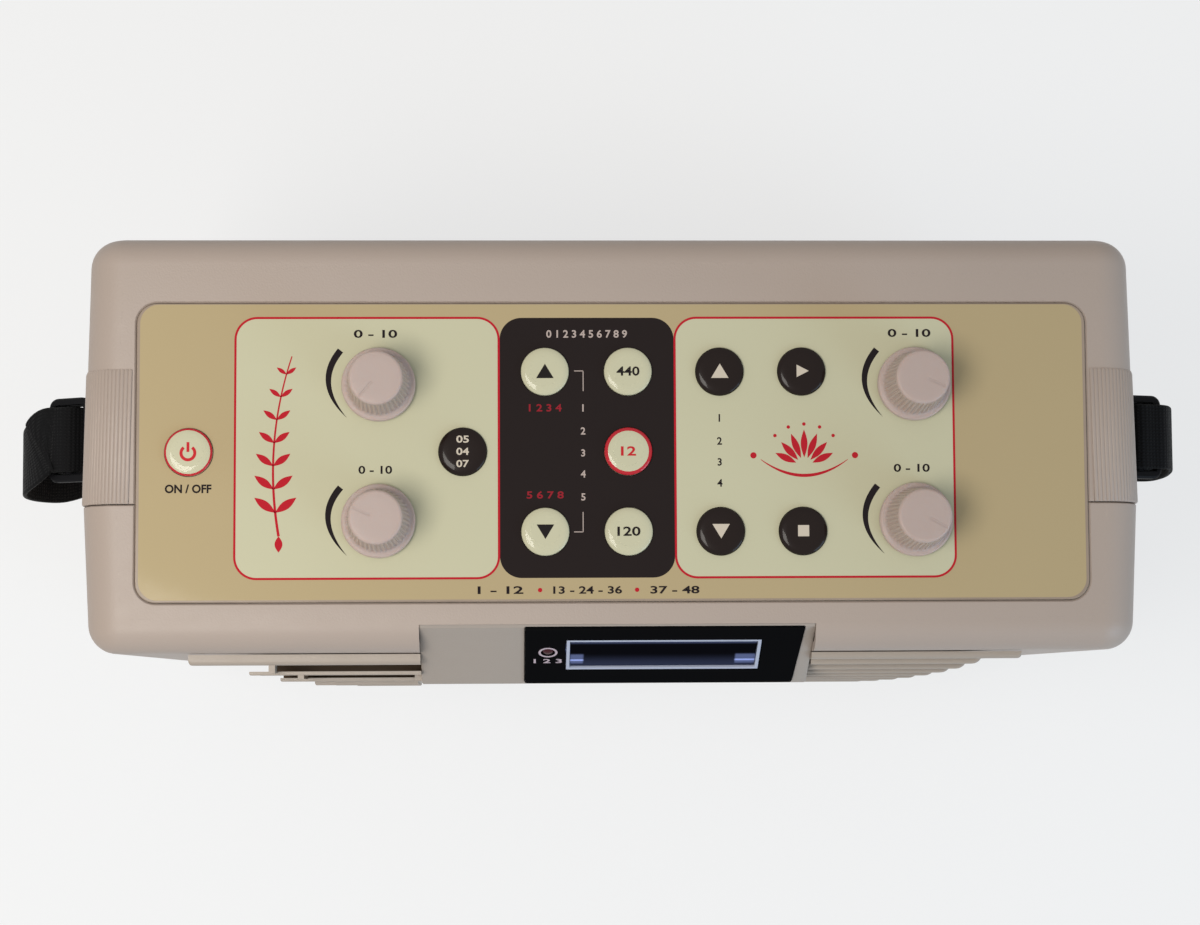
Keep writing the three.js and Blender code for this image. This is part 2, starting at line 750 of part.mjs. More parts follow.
function displayBezel() {
  const face = -frontDepth - clearance;
  const heel = notchFoot + clearance;
  const setback = bezelSetback - frontDepth;
  const section = polygon([
    [setback, housingTop], [slopeTop[0], slopeTop[1]], slopeFoot,
    [-frontDepth - keelBellyDepth, housingTop - keelBelly],
    [face, housingTop - keelEnd], [face, heel], [setback, heel]]);
  const hollowFoot = housingTop - keelEnd + 4 * bezelWall;
  const [dy, dz] = [Math.sin(slopeAngle) * bezelWall, Math.cos(slopeAngle) * bezelWall];
  const hollow = polygon([
    [slopeTop[0] + dy, slopeTop[1] - dz], [slopeFoot[0] + dy, slopeFoot[1] - dz + bezelWall],
    [bezelWall - frontDepth - keelBellyDepth, housingTop - keelBelly],
    [face + weld, hollowFoot], [overrun, hollowFoot], [overrun, slopeTop[1] - dz]]);
  const shell = cut(prismX(section, [bezelLeft, bezelRight]),
    prismX(hollow, [bezelLeft + bezelWall, bezelRight - bezelWall]));
  return cut(shell, onSlope(lensTool()), onSlope(windowTool()), onSlope(lampTool()));
}

// Puts a piece drawn on a level face, with y up the slope and z out of it, onto the slope.
function onSlope(geometry) {
  return geometry.rotateX(slopeAngle).translate(0, slopeTop[0], slopeTop[1]);
}

const lensLeft = bezelLeft + lensLeftMargin;
const lensRight = bezelRight - lensRightMargin;
const lensLength = Math.hypot(slopeRun, slopeDrop) - lensFootMargin;
const windowColumns = [lensLeft + windowLeftMargin, lensRight - windowRightMargin];
const windowRows = [windowFootMargin - lensLength, -windowTopMargin];
const lensFace = lensThickness - lensSeat;
const frameFoot = lensFace - windowSink - displayFrameDepth;

function lensShape(margin) {
  return polygon([[lensLeft - margin, margin], [lensLeft - margin, -lensLength - margin],
    [lensRight - lensTaper + margin, -lensLength - margin], [lensRight + margin, margin]]);
}

function lensTool() {
  return prismZ(lensShape(clearance), [-lensSeat, overrun]);
}

function windowTool() {
  return block(grow(windowColumns, clearance), grow(windowRows, clearance),
    [-overrun, overrun]);
}

function lampTool() {
  return rodZ(lampDiameter / 2 + clearance, [lensLeft + lampInset, -lampDrop],
    [-overrun, overrun]);
}

function displayLens() {
  const plate = prismZ(lensShape(0), [clearance - lensSeat, lensFace]);
  return cut(onSlope(plate), onSlope(windowTool()), onSlope(lampTool()));
}

// The frame stands in the lens's window, and the module's glass in the frame.
function displayFrame() {
  const outer = block(windowColumns, windowRows, [frameFoot, lensFace - windowSink]);
  const inner = block(grow(windowColumns, -windowBar), grow(windowRows, -windowBar),
    [-overrun, overrun]);
  return cut(onSlope(outer), onSlope(inner));
}

function displayModule() {
  const top = frameFoot - clearance;
  const glass = block(grow(windowColumns, -windowBar - clearance),
    grow(windowRows, -windowBar - clearance), [top - weld, lensFace - displaySink]);
  const body = block(grow(windowColumns, displayModuleRim), grow(windowRows, displayModuleRim),
    [top - displayModuleDepth, top]);
  return onSlope(toGeometry(join(body, glass)));
}

function tempoLamp() {
  const radius = lampDiameter / 2;
  const top = lensFace;
  const flangeTop = -bezelWall - clearance;
  return onSlope(turnedZ([[0, top - lampLength], [lampFlange / 2, top - lampLength],
    [lampFlange / 2, flangeTop], [radius, flangeTop], [radius, top - radius / 2],
    [radius * 0.7, top], [0, top + radius / 2]],
    rodSides).translate(lensLeft + lampInset, -lampDrop, 0));
}

// One grille: a rim on the front wall, a top plate, a post beside the bezel, and blades. Thin
// blades stand off the wall, each on a leg at its outer end, or all on one web set in from
// their ends. The other blades reach back to the rim.
function grille(side, plateShare, bladeDepth, reachShare, thinBlades, webInset, postStart) {
  const inner = bezelWidth / 2 + clearance;
  const face = -frontDepth - clearance;
  const across = (near, far) => flank(side, near, far).map((x) => bezelOffset + x);
  const level = (i, share) => grilleTop - i * bladePitch - share * bladeHeight;
  const front = (i) => face - reachShare(i) * grilleBulge;
  const rim = cut(prismY(wingShape(side, 0, 1), [face - rimThickness, face]),
    prismY(wingShape(side, rimWidth, openingShare), [face - overrun, face + overrun]));
  const plate = block(across(inner, inner + plateShare * flankWidth),
    [front(0), face], [level(0, 1), level(0, 0)]);
  const blades = [];
  const shoulder = level(postStart, postShoulderShare);
  const postLine = [[face, level(0, postTopShare)], [face - rimThickness, level(0, postTopShare)],
    [face - rimThickness, shoulder], [front(postStart) + bladeDepth / 2, shoulder]];
  for (let i = 1; i <= bladeCount; i += 1) {
    const thin = i <= thinBlades;
    const levels = [level(i, 1), level(i, 0)];
    const end = inner + wingReach(i / bladeCount);
    const back = thin ? front(i) + bladeDepth : face - rimThickness / 2;
    blades.push(block(across(inner, end), [front(i), back], levels));
    if (!thin || !webInset) blades.push(block(across(end - rimWidth, end), [front(i), face], levels));
    if (i > postStart) postLine.push([front(i) + bladeDepth / 2, level(i, 0)]);
  }
  if (webInset) {
    const end = inner + wingReach(1 / bladeCount) - webInset;
    const web = across(end - rimWidth, end);
    blades.push(block(web, [front(1), face], [level(thinBlades, 1), level(1, 0)]));
    blades.push(block(web, [face - rimThickness, face],
      [level(thinBlades + 1, postTopShare), level(0, postTopShare)]));
  }
  postLine.push([face - rimThickness, grilleTop - grilleHeight - bladeHeight]);
  const post = prismX(polygon([...postLine, [face, grilleTop - grilleHeight - bladeHeight]]),
    across(inner, inner + rimWidth));
  return join(rim, plate, post, ...blades);
}

function rightReach(i) {
  const rising = Math.sin((Math.PI / 2) * Math.min(i / (bladeCount - 3), 1)) ** rightRisePower;
  const fading = 1 - Math.max(i - bladeCount + 3, 0) / bladeCount;
  return (rightPlateReachShare + (1 - rightPlateReachShare) * rising) * fading;
}

function leftReach(i) {
  return i ? leftReachShares[i - 1] : leftPlateReachShare;
}

// Speakers, in their own frame: y is 0 at the front of the flange and grows to the rear.
const basketRadius = speakerFlangeRadius - speakerFlangeWidth;
const mouthRadius = basketRadius - speakerWall;
const coneRimRadius = mouthRadius - coneGap;

function speakerFrame() {
  const deep = speakerBasketDepth;
  const back = deep + magnetDepth + speakerWall;
  return turnedY([[0, back], [magnetRadius, back], [magnetRadius, deep + speakerWall],
    [coneNeckRadius + 4 * speakerWall, deep],
    [basketRadius, speakerFlangeThickness], [speakerFlangeRadius, speakerFlangeThickness],
    [speakerFlangeRadius, 0], [mouthRadius, 0], [mouthRadius, speakerFlangeThickness],
    [coneNeckRadius + 2 * speakerWall, deep - speakerWall], [coneNeckRadius, deep],
    [0, deep]].reverse(), speakerSides);
}

function speakerCone() {
  const throat = speakerBasketDepth - speakerWall + clearance - coneTravel;
  const back = [[0, throat], [coneNeckRadius, throat],
    [coneRimRadius, coneTravel + coneThickness]];
  const front = [[coneRimRadius, coneTravel],
    [coneNeckRadius + coneThickness, throat - 2 * coneThickness],
    [coneNeckRadius / 2, throat - dustCapRise], [0, throat - dustCapRise - coneThickness]];
  return turnedY([...back, ...front].reverse(), speakerSides);
}

function buckle() {
  const frame = roundedRectangle(buckleLength, buckleWidth, buckleCorner,
    [buckleOut + buckleLength / 2, 0]);
  const rail = (buckleLength - 2 * buckleSlotLength) / 3;
  const starts = [rail, 2 * rail + buckleSlotLength];
  const slots = starts.map((start) => block(
    [buckleOut + start, buckleOut + start + buckleSlotLength],
    [-buckleSlotWidth / 2, buckleSlotWidth / 2], [-overrun, overrun]));
  const plate = prismZ(frame, [buckleUp - buckleThickness / 2, buckleUp + buckleThickness / 2]);
  return cut(plate, ...slots);
}

// The strap's line for the right half: from its tail, round the anchor's bar, up through the
// buckle's first slot and over its middle bar, then out, down, and round behind the unit.
// The first part is [outwards, up] from the bar's centre, tilted with the buckle.
const tailLine = [[22, -2.4], [18, -1.9], [13, -1.6], [8, -1.9], [4, -2.5]];
const threadLine = [[3.2, 2], [5.6, 0.9], [8.4, 0.8], [10.1, 1.7], [12.5, 5.3], [14.2, 6.4],
  [18, 6.3], [21.8, 6.2]];
// The rest is [beside the bar, share of the way back, over the bar, turn share], by eye: it
// hangs from the buckle, turns on edge under the unit's top edge, and runs to the rear.
const leftHang = [[26.1, -0.06, -8.5, 0], [29.9, -0.1, -15, 0], [31.2, -0.115, -25, 0.02],
  [28.2, -0.12, -36, 0.05], [22.5, -0.11, -45, 0.12], [16.5, -0.06, -53, 0.3],
  [13.5, 0.05, -61, 0.55]];
const rightHang = [[25.8, 0, -6, 0], [27.4, -0.01, -14, 0], [27.5, -0.02, -25, 0.02],
  [25.4, -0.02, -36, 0.06], [20.5, 0, -46, 0.14], [16.5, 0.04, -54, 0.3],
  [13.5, 0.12, -62, 0.55]];
const rearRun = [[12, 0.26, -68, 0.8], [11, 0.52, -73, 1], [9, 0.75, -77, 1],
  [3, 0.91, -81, 1], [-9, 0.985, -84, 1], [-31, 1, -87, 1], [-66, 1, -90, 1],
  [-106, 1, -91.5, 1]];
const strapSag = 91.5;

function strapHalf(tilt, hang) {
  const turnBar = (u, v) => [u * Math.cos(tilt) + v * Math.sin(tilt),
    v * Math.cos(tilt) - u * Math.sin(tilt)];
  const loopRadius = anchorBarRadius + clearance + webbingThickness / 2 + clearance;
  const loop = Array.from({ length: 7 }, (_, i) => {
    const angle = -Math.PI / 2 - (i / 6) * Math.PI;
    return [loopRadius * Math.cos(angle), loopRadius * Math.sin(angle)];
  });
  const near = [...tailLine, ...loop, ...threadLine].map(([u, v]) => {
    const [out, up] = turnBar(u, v);
    return { at: [barColumn + out, anchorBehindSeam, anchorHeight + up], turn: 0 };
  });
  const back = strapRun - anchorBehindSeam;
  const far = [...hang, ...rearRun].map(([out, share, up, turn]) => ({
    at: [barColumn + out, anchorBehindSeam + share * back, anchorHeight + up], turn }));
  return [...near, ...far, { at: [0, strapRun, anchorHeight - strapSag], turn: 1 }];
}

function strap(leftTilt, rightTilt) {
  const left = strapHalf(leftTilt, leftHang).map(({ at: [x, y, z], turn }) => ({ at: [-x, y, z], turn }));
  const right = strapHalf(rightTilt, rightHang).reverse();
  const marks = [...left.slice(0, -1), ...right];
  const curve = new THREE.CatmullRomCurve3(
    marks.map(({ at }) => new THREE.Vector3(...at)), false, 'centripetal');
  const rings = marks.map(({ turn }, i) => {
    const share = i / (marks.length - 1);
    const along = curve.getTangent(share);
    const angle = (turn * Math.PI) / 2;
    const across = new THREE.Vector3(0, Math.cos(angle), Math.sin(angle));
    across.addScaledVector(along, -across.dot(along)).normalize();
    return { at: curve.getPoint(share), across, up: along.clone().cross(across) };
  });
  return ribbon(rings, webbingWidth, webbingThickness);
}

// A closed strip of rectangular section through rings of a place, a width and a thickness way.
function ribbon(rings, width, thickness) {
  const corners = [[1, 1], [-1, 1], [-1, -1], [1, -1]];
  const points = rings.flatMap(({ at, across, up }) => corners.map(([a, b]) => at.clone()
    .addScaledVector(across, (a * width) / 2).addScaledVector(up, (b * thickness) / 2)));
  const faces = [];
  for (let ring = 0; ring < rings.length - 1; ring += 1) {
    for (let i = 0; i < 4; i += 1) {
      const [a, b] = [ring * 4 + i, ring * 4 + ((i + 1) % 4)];
      faces.push([a, b, b + 4], [a, b + 4, a + 4]);
    }
  }
  const last = (rings.length - 1) * 4;
  faces.push([0, 2, 1], [0, 3, 2], [last, last + 1, last + 2], [last, last + 2, last + 3]);
  const geometry = new THREE.BufferGeometry();
  geometry.setAttribute('position', new THREE.Float32BufferAttribute(
    points.flatMap((point) => point.toArray()), 3));
  geometry.setIndex(faces.flat());
  geometry.computeVertexNormals();
  return geometry;
}

// Feet, screws and sockets
function foot() {
  const radius = footDiameter / 2;
  const stem = footStemDiameter / 2;
  return turnedZ([[0, 0], [radius - footChamfer, 0], [radius, footChamfer], [radius, footHeight],
    [stem, footHeight], [stem, footHeight + footStemLength],
    [0, footHeight + footStemLength]], rodSides);
}

function caseScrew([x, z]) {
  const head = rodY(screwHeadRadius, [x, z],
    [screwSeat + clearance, screwSeat + clearance + screwHeadHeight], smallSides);
  const shank = rodY(screwShankRadius, [x, z],
    [screwSeat - screwLength, screwSeat + clearance + weld], smallSides);
  const slot = block([x - screwHeadRadius * 2, x + screwHeadRadius * 2],
    [screwSeat + clearance + screwHeadHeight - screwSlotDepth, screwSeat + overrun],
    [z - screwSlotWidth / 2, z + screwSlotWidth / 2]);
  return cut(join(head, shank), slot);
}

const socketRow = housingBottom + socketPlateRise;
const inletPlace = [socketSpreadShare * socketPlateWidth, socketRow];
const jackPlace = [-socketSpreadShare * socketPlateWidth, socketRow];
const plateFace = rearDepth + clearance;

function socketPlate() {
  const outer = roundedRectangle(socketPlateWidth, socketPlateHeight, socketFlange,
    [0, socketRow]);
  const plate = prismY(outer, [plateFace, plateFace + socketPlateThickness]);
  const inlet = roundedRectangle(inletWidth + 2 * clearance, inletHeight + 2 * clearance,
    inletCorner + clearance, inletPlace);
  return cut(plate, prismY(inlet, [plateFace - overrun, plateFace + overrun]),
    rodY(jackRadius + clearance, jackPlace, [plateFace - overrun, plateFace + overrun]));
}

function mainsInlet() {
  const front = plateFace + socketPlateThickness + socketProud;
  const body = roundedRectangle(inletWidth, inletHeight, inletCorner, inletPlace);
  const well = roundedRectangle(inletWidth - 2 * inletWall, inletHeight - 2 * inletWall,
    inletCorner - inletWall / 2, inletPlace);
  return cut(prismY(body, [front - inletDepth, front]),
    prismY(well, [front - inletWell, front + overrun]));
}

function outputJack() {
  const front = plateFace + socketPlateThickness + socketProud;
  return cut(rodY(jackRadius, jackPlace, [front - jackDepth, front]),
    rodY(jackBoreRadius, jackPlace, [front - jackBoreDepth, front + overrun]));
}

const mainBoardFoot = housingBottom + wall + mainBoardLift;
const mainBoardTop = mainBoardFoot + boardThickness;
const transformerColumn = transformerSideInset - housingWidth / 2;
const transformerRow = rearDepth - transformerRearInset;
const mainBoardLeft = transformerColumn + transformerFootWidth / 2 + mainBoardGap;
const mainBoardRight = housingWidth / 2 - mainBoardSideInset;
const mainBoardRear = rearDepth - mainBoardRearInset;
const mainBoardFront = mainBoardRear - mainBoardDepth;

function mainBoardCorners() {
  const inset = 2 * boardPostRadius;
  const columns = [mainBoardLeft + inset, mainBoardRight - inset];
  const rows = [mainBoardFront + inset, mainBoardRear - inset];
  return rows.flatMap((y) => columns.map((x) => [x, y]));
}

function mainBoard() {
  const board = block([mainBoardLeft, mainBoardRight], [mainBoardFront, mainBoardRear],
    [mainBoardFoot, mainBoardTop]);
  const sinkLeft = mainBoardRight - boardPostRadius - heatSinkWidth;
  const sinkFront = mainBoardFront + 4 * boardPostRadius;
  const fin = heatSinkDepth / 5;
  const sinkLevels = [mainBoardTop - weld, mainBoardTop + heatSinkHeight];
  const back = block([sinkLeft, sinkLeft + heatSinkWidth], [sinkFront, sinkFront + fin], sinkLevels);
  const fins = [0, 1, 2, 3].map((i) => {
    const x = sinkLeft + (i * (heatSinkWidth - fin)) / 3;
    return block([x, x + fin], [sinkFront, sinkFront + heatSinkDepth], sinkLevels);
  });
  const capacitors = [1, 2].map((i) => rodZ(capacitorRadius,
    [mainBoardLeft + 3 * i * capacitorRadius, mainBoardFront + 2 * capacitorRadius],
    [mainBoardTop - weld, mainBoardTop + capacitorHeight], rodSides));
  return join(board, back, ...fins, ...capacitors);
}

function transformer() {
  const [x, y, z] = [transformerColumn, transformerRow, housingBottom + wall + clearance];
  const core = block([x - coreWidth / 2, x + coreWidth / 2],
    [y - coreDepth / 2, y + coreDepth / 2], [z, z + coreHeight]);
  const middle = z + coreHeight / 2;
  const coil = block([x - coilWidth / 2, x + coilWidth / 2],
    [y - coilDepth / 2, y + coilDepth / 2], [middle - coilHeight / 2, middle + coilHeight / 2]);
  const feet = block([x - transformerFootWidth / 2, x + transformerFootWidth / 2],
    [y - coreDepth / 2, y + coreDepth / 2], [z, z + transformerFootHeight]);
  return join(core, coil, feet);
}

// The flat cable leaves the key board's rear edge, hangs down and lies onto the main board.
function flatCable() {
  const top = keyBoardTop - boardThickness - clearance;
  const rear = keyBoardRear - cableReach;
  const low = mainBoardTop + clearance;
  const outer = [[rear - cableDrop, top], [rear, top], [rear, low + cableDrop],
    [mainBoardRear - cableReach, low]];
  const inner = [[mainBoardRear - cableReach - cableThickness * 2, low],
    [rear - cableThickness, low + cableDrop], [rear - cableThickness, top - cableThickness],
    [rear - cableDrop, top - cableThickness]];
  const left = mainBoardLeft + cableShare * (mainBoardRight - mainBoardLeft);
  return prismX(polygon([...outer, ...inner]), [left, left + cableWidth]);
}

function finish(color, roughness, metalness) {
  return new THREE.MeshStandardMaterial({ color, roughness, metalness });
}

const unit = new THREE.Group();
unit.position.y = (unitFront - unitRear) / 2;

function add(name, part, material, place = [0, 0, 0], turn = [0, 0, 0]) {
  const mesh = new THREE.Mesh(toGeometry(part), material);
  mesh.name = name;
  mesh.position.set(...place);
  mesh.rotation.set(...turn);
  unit.add(mesh);
}

const beige = () => finish('#b8a89a', 0.55, 0);
const black = () => finish('#1b1b1c', 0.5, 0);
const steel = () => finish('#a9aaab', 0.35, 1);
const board = () => finish('#2f5a3c', 0.6, 0);

add('front_shell', frontShell(), beige());
add('rear_shell', rearShell(), beige());
add('control_panel', controlPanel(), finish('#b9a67d', 0.25, 0));
add('key_board', keyBoard(), board());

const paleKeys = ['power_key', 'style_up_key', 'style_down_key', 'pitch_key', 'memory_key',
  'tempo_key'];
const cap = keyCap();
keys.forEach(([name, x, row]) => {
  const color = paleKeys.includes(name) ? '#c3c0a0' : '#2c2523';
  add(name, cap.clone(), finish(color, 0.15, 0), [x, keyRows[row], panelTop]);
});

const [body, shaft, pot] = [knobBody(), potShaft(), potBody()];
knobs.forEach(([name, x, y, clock]) => {
  const place = [x, y, panelTop];
  add(`${name}_knob`, body, finish('#b8a69c', 0.5, 0), place, [0, 0, -(clock * Math.PI) / 180]);
  add(`${name}_shaft`, shaft.clone(), steel(), place);
  add(`${name}_pot`, pot, finish('#8d8f90', 0.4, 0.8), place);
});

add('display_bezel', displayBezel(), beige());
add('display_lens', displayLens(), finish('#0d0d0d', 0.1, 0));
add('display_frame', displayFrame(), finish('#b9bec8', 0.4, 0));
add('display_module', displayModule(), finish('#15171d', 0.2, 0));
add('tempo_lamp', tempoLamp(), finish('#5a1518', 0.2, 0));
add('left_grille',
  grille(-1, leftPlateShare, leftBladeDepth, leftReach, leftThinBlades, leftWebInset, 1), beige());
add('right_grille',
  grille(1, rightPlateShare, rightBladeDepth, rightReach, bladeCount, 0, 0), beige());

const speakerColumn = bezelWidth / 2 + speakerFlangeRadius - speakerTuck;
const speakerPlace = (side) => [side * speakerColumn, wall + clearance - frontDepth,
  grilleTop - speakerDrop];
[['left', -1], ['right', 1]].forEach(([word, side]) => {
  add(`${word}_speaker_frame`, speakerFrame(), steel(), speakerPlace(side));
  add(`${word}_speaker_cone`, speakerCone(), finish('#1d1c1b', 0.9, 0), speakerPlace(side));
  add(`${word}_side_band`, sideBand(side), beige());
  add(`${word}_strap_anchor`, strapAnchor(side), black());
});

const [leftTilt, rightTilt] = [0.5, 0.3];
const barPlace = (side) => [side * barColumn, anchorBehindSeam, anchorHeight];
add('right_buckle', buckle(), black(), barPlace(1), [0, rightTilt, 0]);
add('left_buckle', buckle(), black(), barPlace(-1), [0, -leftTilt, Math.PI]);
add('strap', strap(leftTilt, rightTilt), finish('#18181a', 0.9, 0));

footPlaces().forEach(([x, y], i) => {
  add(`foot_${i + 1}`, foot(), finish('#222222', 0.9, 0), [x, y, 0]);
});
screwPlaces().forEach((place, i) => {
  add(`case_screw_${i + 1}`, caseScrew(place), steel());
});
add('socket_plate', socketPlate(), black());
add('mains_inlet', mainsInlet(), black());
add('output_jack', outputJack(), finish('#26262a', 0.4, 0));
add('main_board', mainBoard(), board());
add('transformer', transformer(), finish('#6d6a64', 0.5, 0.6));
add('flat_cable', flatCable(), finish('#8f9299', 0.6, 0));
const extent = new THREE.Box3().setFromObject(unit, true);
unit.position.x = -(extent.min.x + extent.max.x) / 2;

const tanpura = new THREE.Group();
tanpura.add(unit);

export default tanpura;
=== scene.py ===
import bmesh
import bpy
import numpy as np
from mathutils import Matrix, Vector
from mathutils.geometry import tessellate_polygon


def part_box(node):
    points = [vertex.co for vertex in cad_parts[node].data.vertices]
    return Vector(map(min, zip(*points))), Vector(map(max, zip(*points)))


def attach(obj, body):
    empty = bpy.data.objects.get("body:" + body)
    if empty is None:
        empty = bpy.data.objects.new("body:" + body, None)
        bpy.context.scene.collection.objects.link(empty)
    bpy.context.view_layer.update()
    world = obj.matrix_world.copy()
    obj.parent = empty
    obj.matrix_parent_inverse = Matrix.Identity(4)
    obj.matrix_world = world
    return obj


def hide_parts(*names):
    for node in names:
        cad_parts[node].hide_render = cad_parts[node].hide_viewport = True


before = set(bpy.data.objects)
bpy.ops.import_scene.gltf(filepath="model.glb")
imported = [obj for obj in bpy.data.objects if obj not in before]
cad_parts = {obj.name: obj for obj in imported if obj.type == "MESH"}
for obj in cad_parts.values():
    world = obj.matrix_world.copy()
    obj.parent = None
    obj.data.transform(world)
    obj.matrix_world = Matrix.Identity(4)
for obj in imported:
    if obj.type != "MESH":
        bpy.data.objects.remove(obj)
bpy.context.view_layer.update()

# Camera: above the control panel and a little in front of it, looking down on it, as the
# unit is seen when it stands on a low table. It is placed from the panel's middle.
panel_low, panel_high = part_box("control_panel")
panel_middle = (panel_low + panel_high) / 2
camera = bpy.data.objects.new("camera", bpy.data.cameras.new("camera"))
bpy.context.scene.collection.objects.link(camera)
camera.data.sensor_width = 36
camera.data.lens = 81
camera.data.clip_start = 0.01
from_panel = Vector((-0.02989, -0.06786, 0.76883))
camera.location = Vector((panel_middle.x, panel_middle.y, panel_high.z)) + from_panel
camera.rotation_euler = (0.0841, -0.0331, -0.0052)
bpy.context.scene.camera = camera
bpy.context.scene.view_settings.view_transform = "Standard"

# Light: one broad lamp high on the left and a little in front, a bluish one lower down in front
# on the right, and an even fill from all round. Together they bring a level surface to about
# the colour that it is written in.
def area_lamp(name, size, energy, colour, place, aim):
    """A square lamp of a size at a place, its face turned towards the aim."""
    lamp = bpy.data.objects.new(name, bpy.data.lights.new(name, "AREA"))
    lamp.data.size = size
    lamp.data.energy = energy
    lamp.data.color = colour
    lamp.location = place
    lamp.rotation_euler = (Vector(aim) - lamp.location).to_track_quat("-Z", "Y").to_euler()
    bpy.context.scene.collection.objects.link(lamp)
    return lamp


window_lamp = area_lamp("window_lamp", 0.4, 3.45, (1.0, 0.96, 0.9), (-0.39, -0.16, 1.07),
                        (-0.35, -0.06, 0.2))
window_lamp.data.spread = 2.2
area_lamp("sky_lamp", 0.5, 3.3, (0.5, 0.74, 1.0), (0.75, -0.55, 0.5), (0.1, 0.0, 0.15))


def set_inputs(node, **values):
    """Sets a shader node's inputs, whose names are written with underscores for spaces."""
    for name, value in values.items():
        node.inputs[name.replace("_", " ")].default_value = value
    return node


def straight(nodes, links):
    """1 for a ray that shows the background: seen, mirrored or seen through something."""
    ray = nodes.new("ShaderNodeLightPath")
    total = ray.outputs["Is Camera Ray"]
    for kind in ("Is Glossy Ray", "Is Transmission Ray"):
        larger = nodes.new("ShaderNodeMath")
        larger.operation = "MAXIMUM"
        links.new(total, larger.inputs[0])
        links.new(ray.outputs[kind], larger.inputs[1])
        total = larger.outputs[0]
    return total


room = bpy.data.worlds.new("room")
bpy.context.scene.world = room
room.use_nodes = True
nodes, links = room.node_tree.nodes, room.node_tree.links
nodes.clear()
fill = set_inputs(nodes.new("ShaderNodeBackground"), Color=(0.95, 0.975, 1.0, 1), Strength=0.49)
seen = set_inputs(nodes.new("ShaderNodeBackground"), Color=(0.83, 0.83, 0.83, 1), Strength=1.0)
either = nodes.new("ShaderNodeMixShader")
out = nodes.new("ShaderNodeOutputWorld")
links.new(straight(nodes, links), either.inputs[0])
links.new(fill.outputs[0], either.inputs[1])
links.new(seen.outputs[0], either.inputs[2])
links.new(either.outputs[0], out.inputs["Surface"])

# Floor: a pale matt table top under the feet, wide enough to fill the picture. What the
# camera sees of it is mostly its own even grey, with the object's soft shadow on it.
def plain_material(name):
    """An empty node material with its shader, as (material, nodes, links, shader)."""
    material = bpy.data.materials.new(name)
    material.use_nodes = True
    tree = material.node_tree
    return material, tree.nodes, tree.links, tree.nodes["Principled BSDF"]


reach = 4.0
floor_mesh = bpy.data.meshes.new("floor")
floor_mesh.from_pydata([(-reach, -reach, 0), (reach, -reach, 0), (reach, reach, 0),
                        (-reach, reach, 0)], [], [(0, 1, 2, 3)])
floor = bpy.data.objects.new("floor", floor_mesh)
bpy.context.scene.collection.objects.link(floor)
floor_material, nodes, links, shader = plain_material("floor_matt")
set_inputs(shader, Base_Color=(0.78, 0.78, 0.77, 1), Roughness=0.9, Specular_IOR_Level=0.1)
glow = set_inputs(nodes.new("ShaderNodeEmission"), Color=(0.94, 0.94, 0.94, 1))
own_grey = nodes.new("ShaderNodeMath")
own_grey.operation = "MULTIPLY"
own_grey.inputs[1].default_value = 0.72
either = nodes.new("ShaderNodeMixShader")
links.new(straight(nodes, links), own_grey.inputs[0])
links.new(own_grey.outputs[0], either.inputs[0])
links.new(shader.outputs[0], either.inputs[1])
links.new(glow.outputs[0], either.inputs[2])
links.new(either.outputs[0], nodes["Material Output"].inputs["Surface"])
floor_mesh.materials.append(floor_material)

# Housing: two half shells moulded in beige styrene with a fine spark-eroded grain, open
# towards each other and screwed together from the rear. Their seam runs round the unit.
seam = 500 * (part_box("front_shell")[1].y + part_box("rear_shell")[0].y)
sideways = 500 * (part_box("front_shell")[0].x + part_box("front_shell")[1].x)
housing_width, housing_top, housing_bottom = 304.8, 209.7, 4.3
front_depth, rear_depth, wall = 42.2, 77.1, 2.6
edge_radius, face_radius, front_narrowing, rear_narrowing = 11.0, 8.0, 2.1, 1.7
half_gap, clearance, overrun = 0.15, 0.3, 5.0
panel_width, panel_front, panel_rear, panel_corner = 272.2, 27.9, 57.5, 5.8
panel_depth, panel_row = panel_front + panel_rear, (panel_rear - panel_front) / 2
panel_top, recess_floor, floor_under = 210.0, 207.2, 204.8
key_hole, bushing_hole, foot_hole = 7.4, 4.5, 2.5


def srgb(red, green, blue):
    """A colour picked on a screen, 0 to 255, as the linear values that a shader takes."""
    value = np.array([red, green, blue]) / 255
    linear = np.where(value <= 0.04045, value / 12.92, ((value + 0.055) / 1.055) ** 2.4)
    return (*(float(v) for v in linear), 1.0)


def two_tone(nodes, links, factor, first, second, socket):
    """Leads a colour into a socket: the first at a factor of 0, the second at 1."""
    mix = nodes.new("ShaderNodeMix")
    mix.data_type = "RGBA"
    set_inputs(mix, A=first, B=second)
    links.new(factor, mix.inputs["Factor"])
    links.new(mix.outputs["Result"], socket)


def roughened(nodes, links, shader, value, low, high):
    """Lets a value from 0 to 1 swing the shader's roughness between two limits."""
    spread = set_inputs(nodes.new("ShaderNodeMapRange"), To_Min=low, To_Max=high)
    links.new(value, spread.inputs["Value"])
    links.new(spread.outputs["Result"], shader.inputs["Roughness"])


def bumped(nodes, links, shader, height, strength, distance):
    """Lets a value raise the shader's surface by up to a distance, in metres."""
    bump = set_inputs(nodes.new("ShaderNodeBump"), Strength=strength, Distance=distance)
    links.new(height, bump.inputs["Height"])
    links.new(bump.outputs["Normal"], shader.inputs["Normal"])


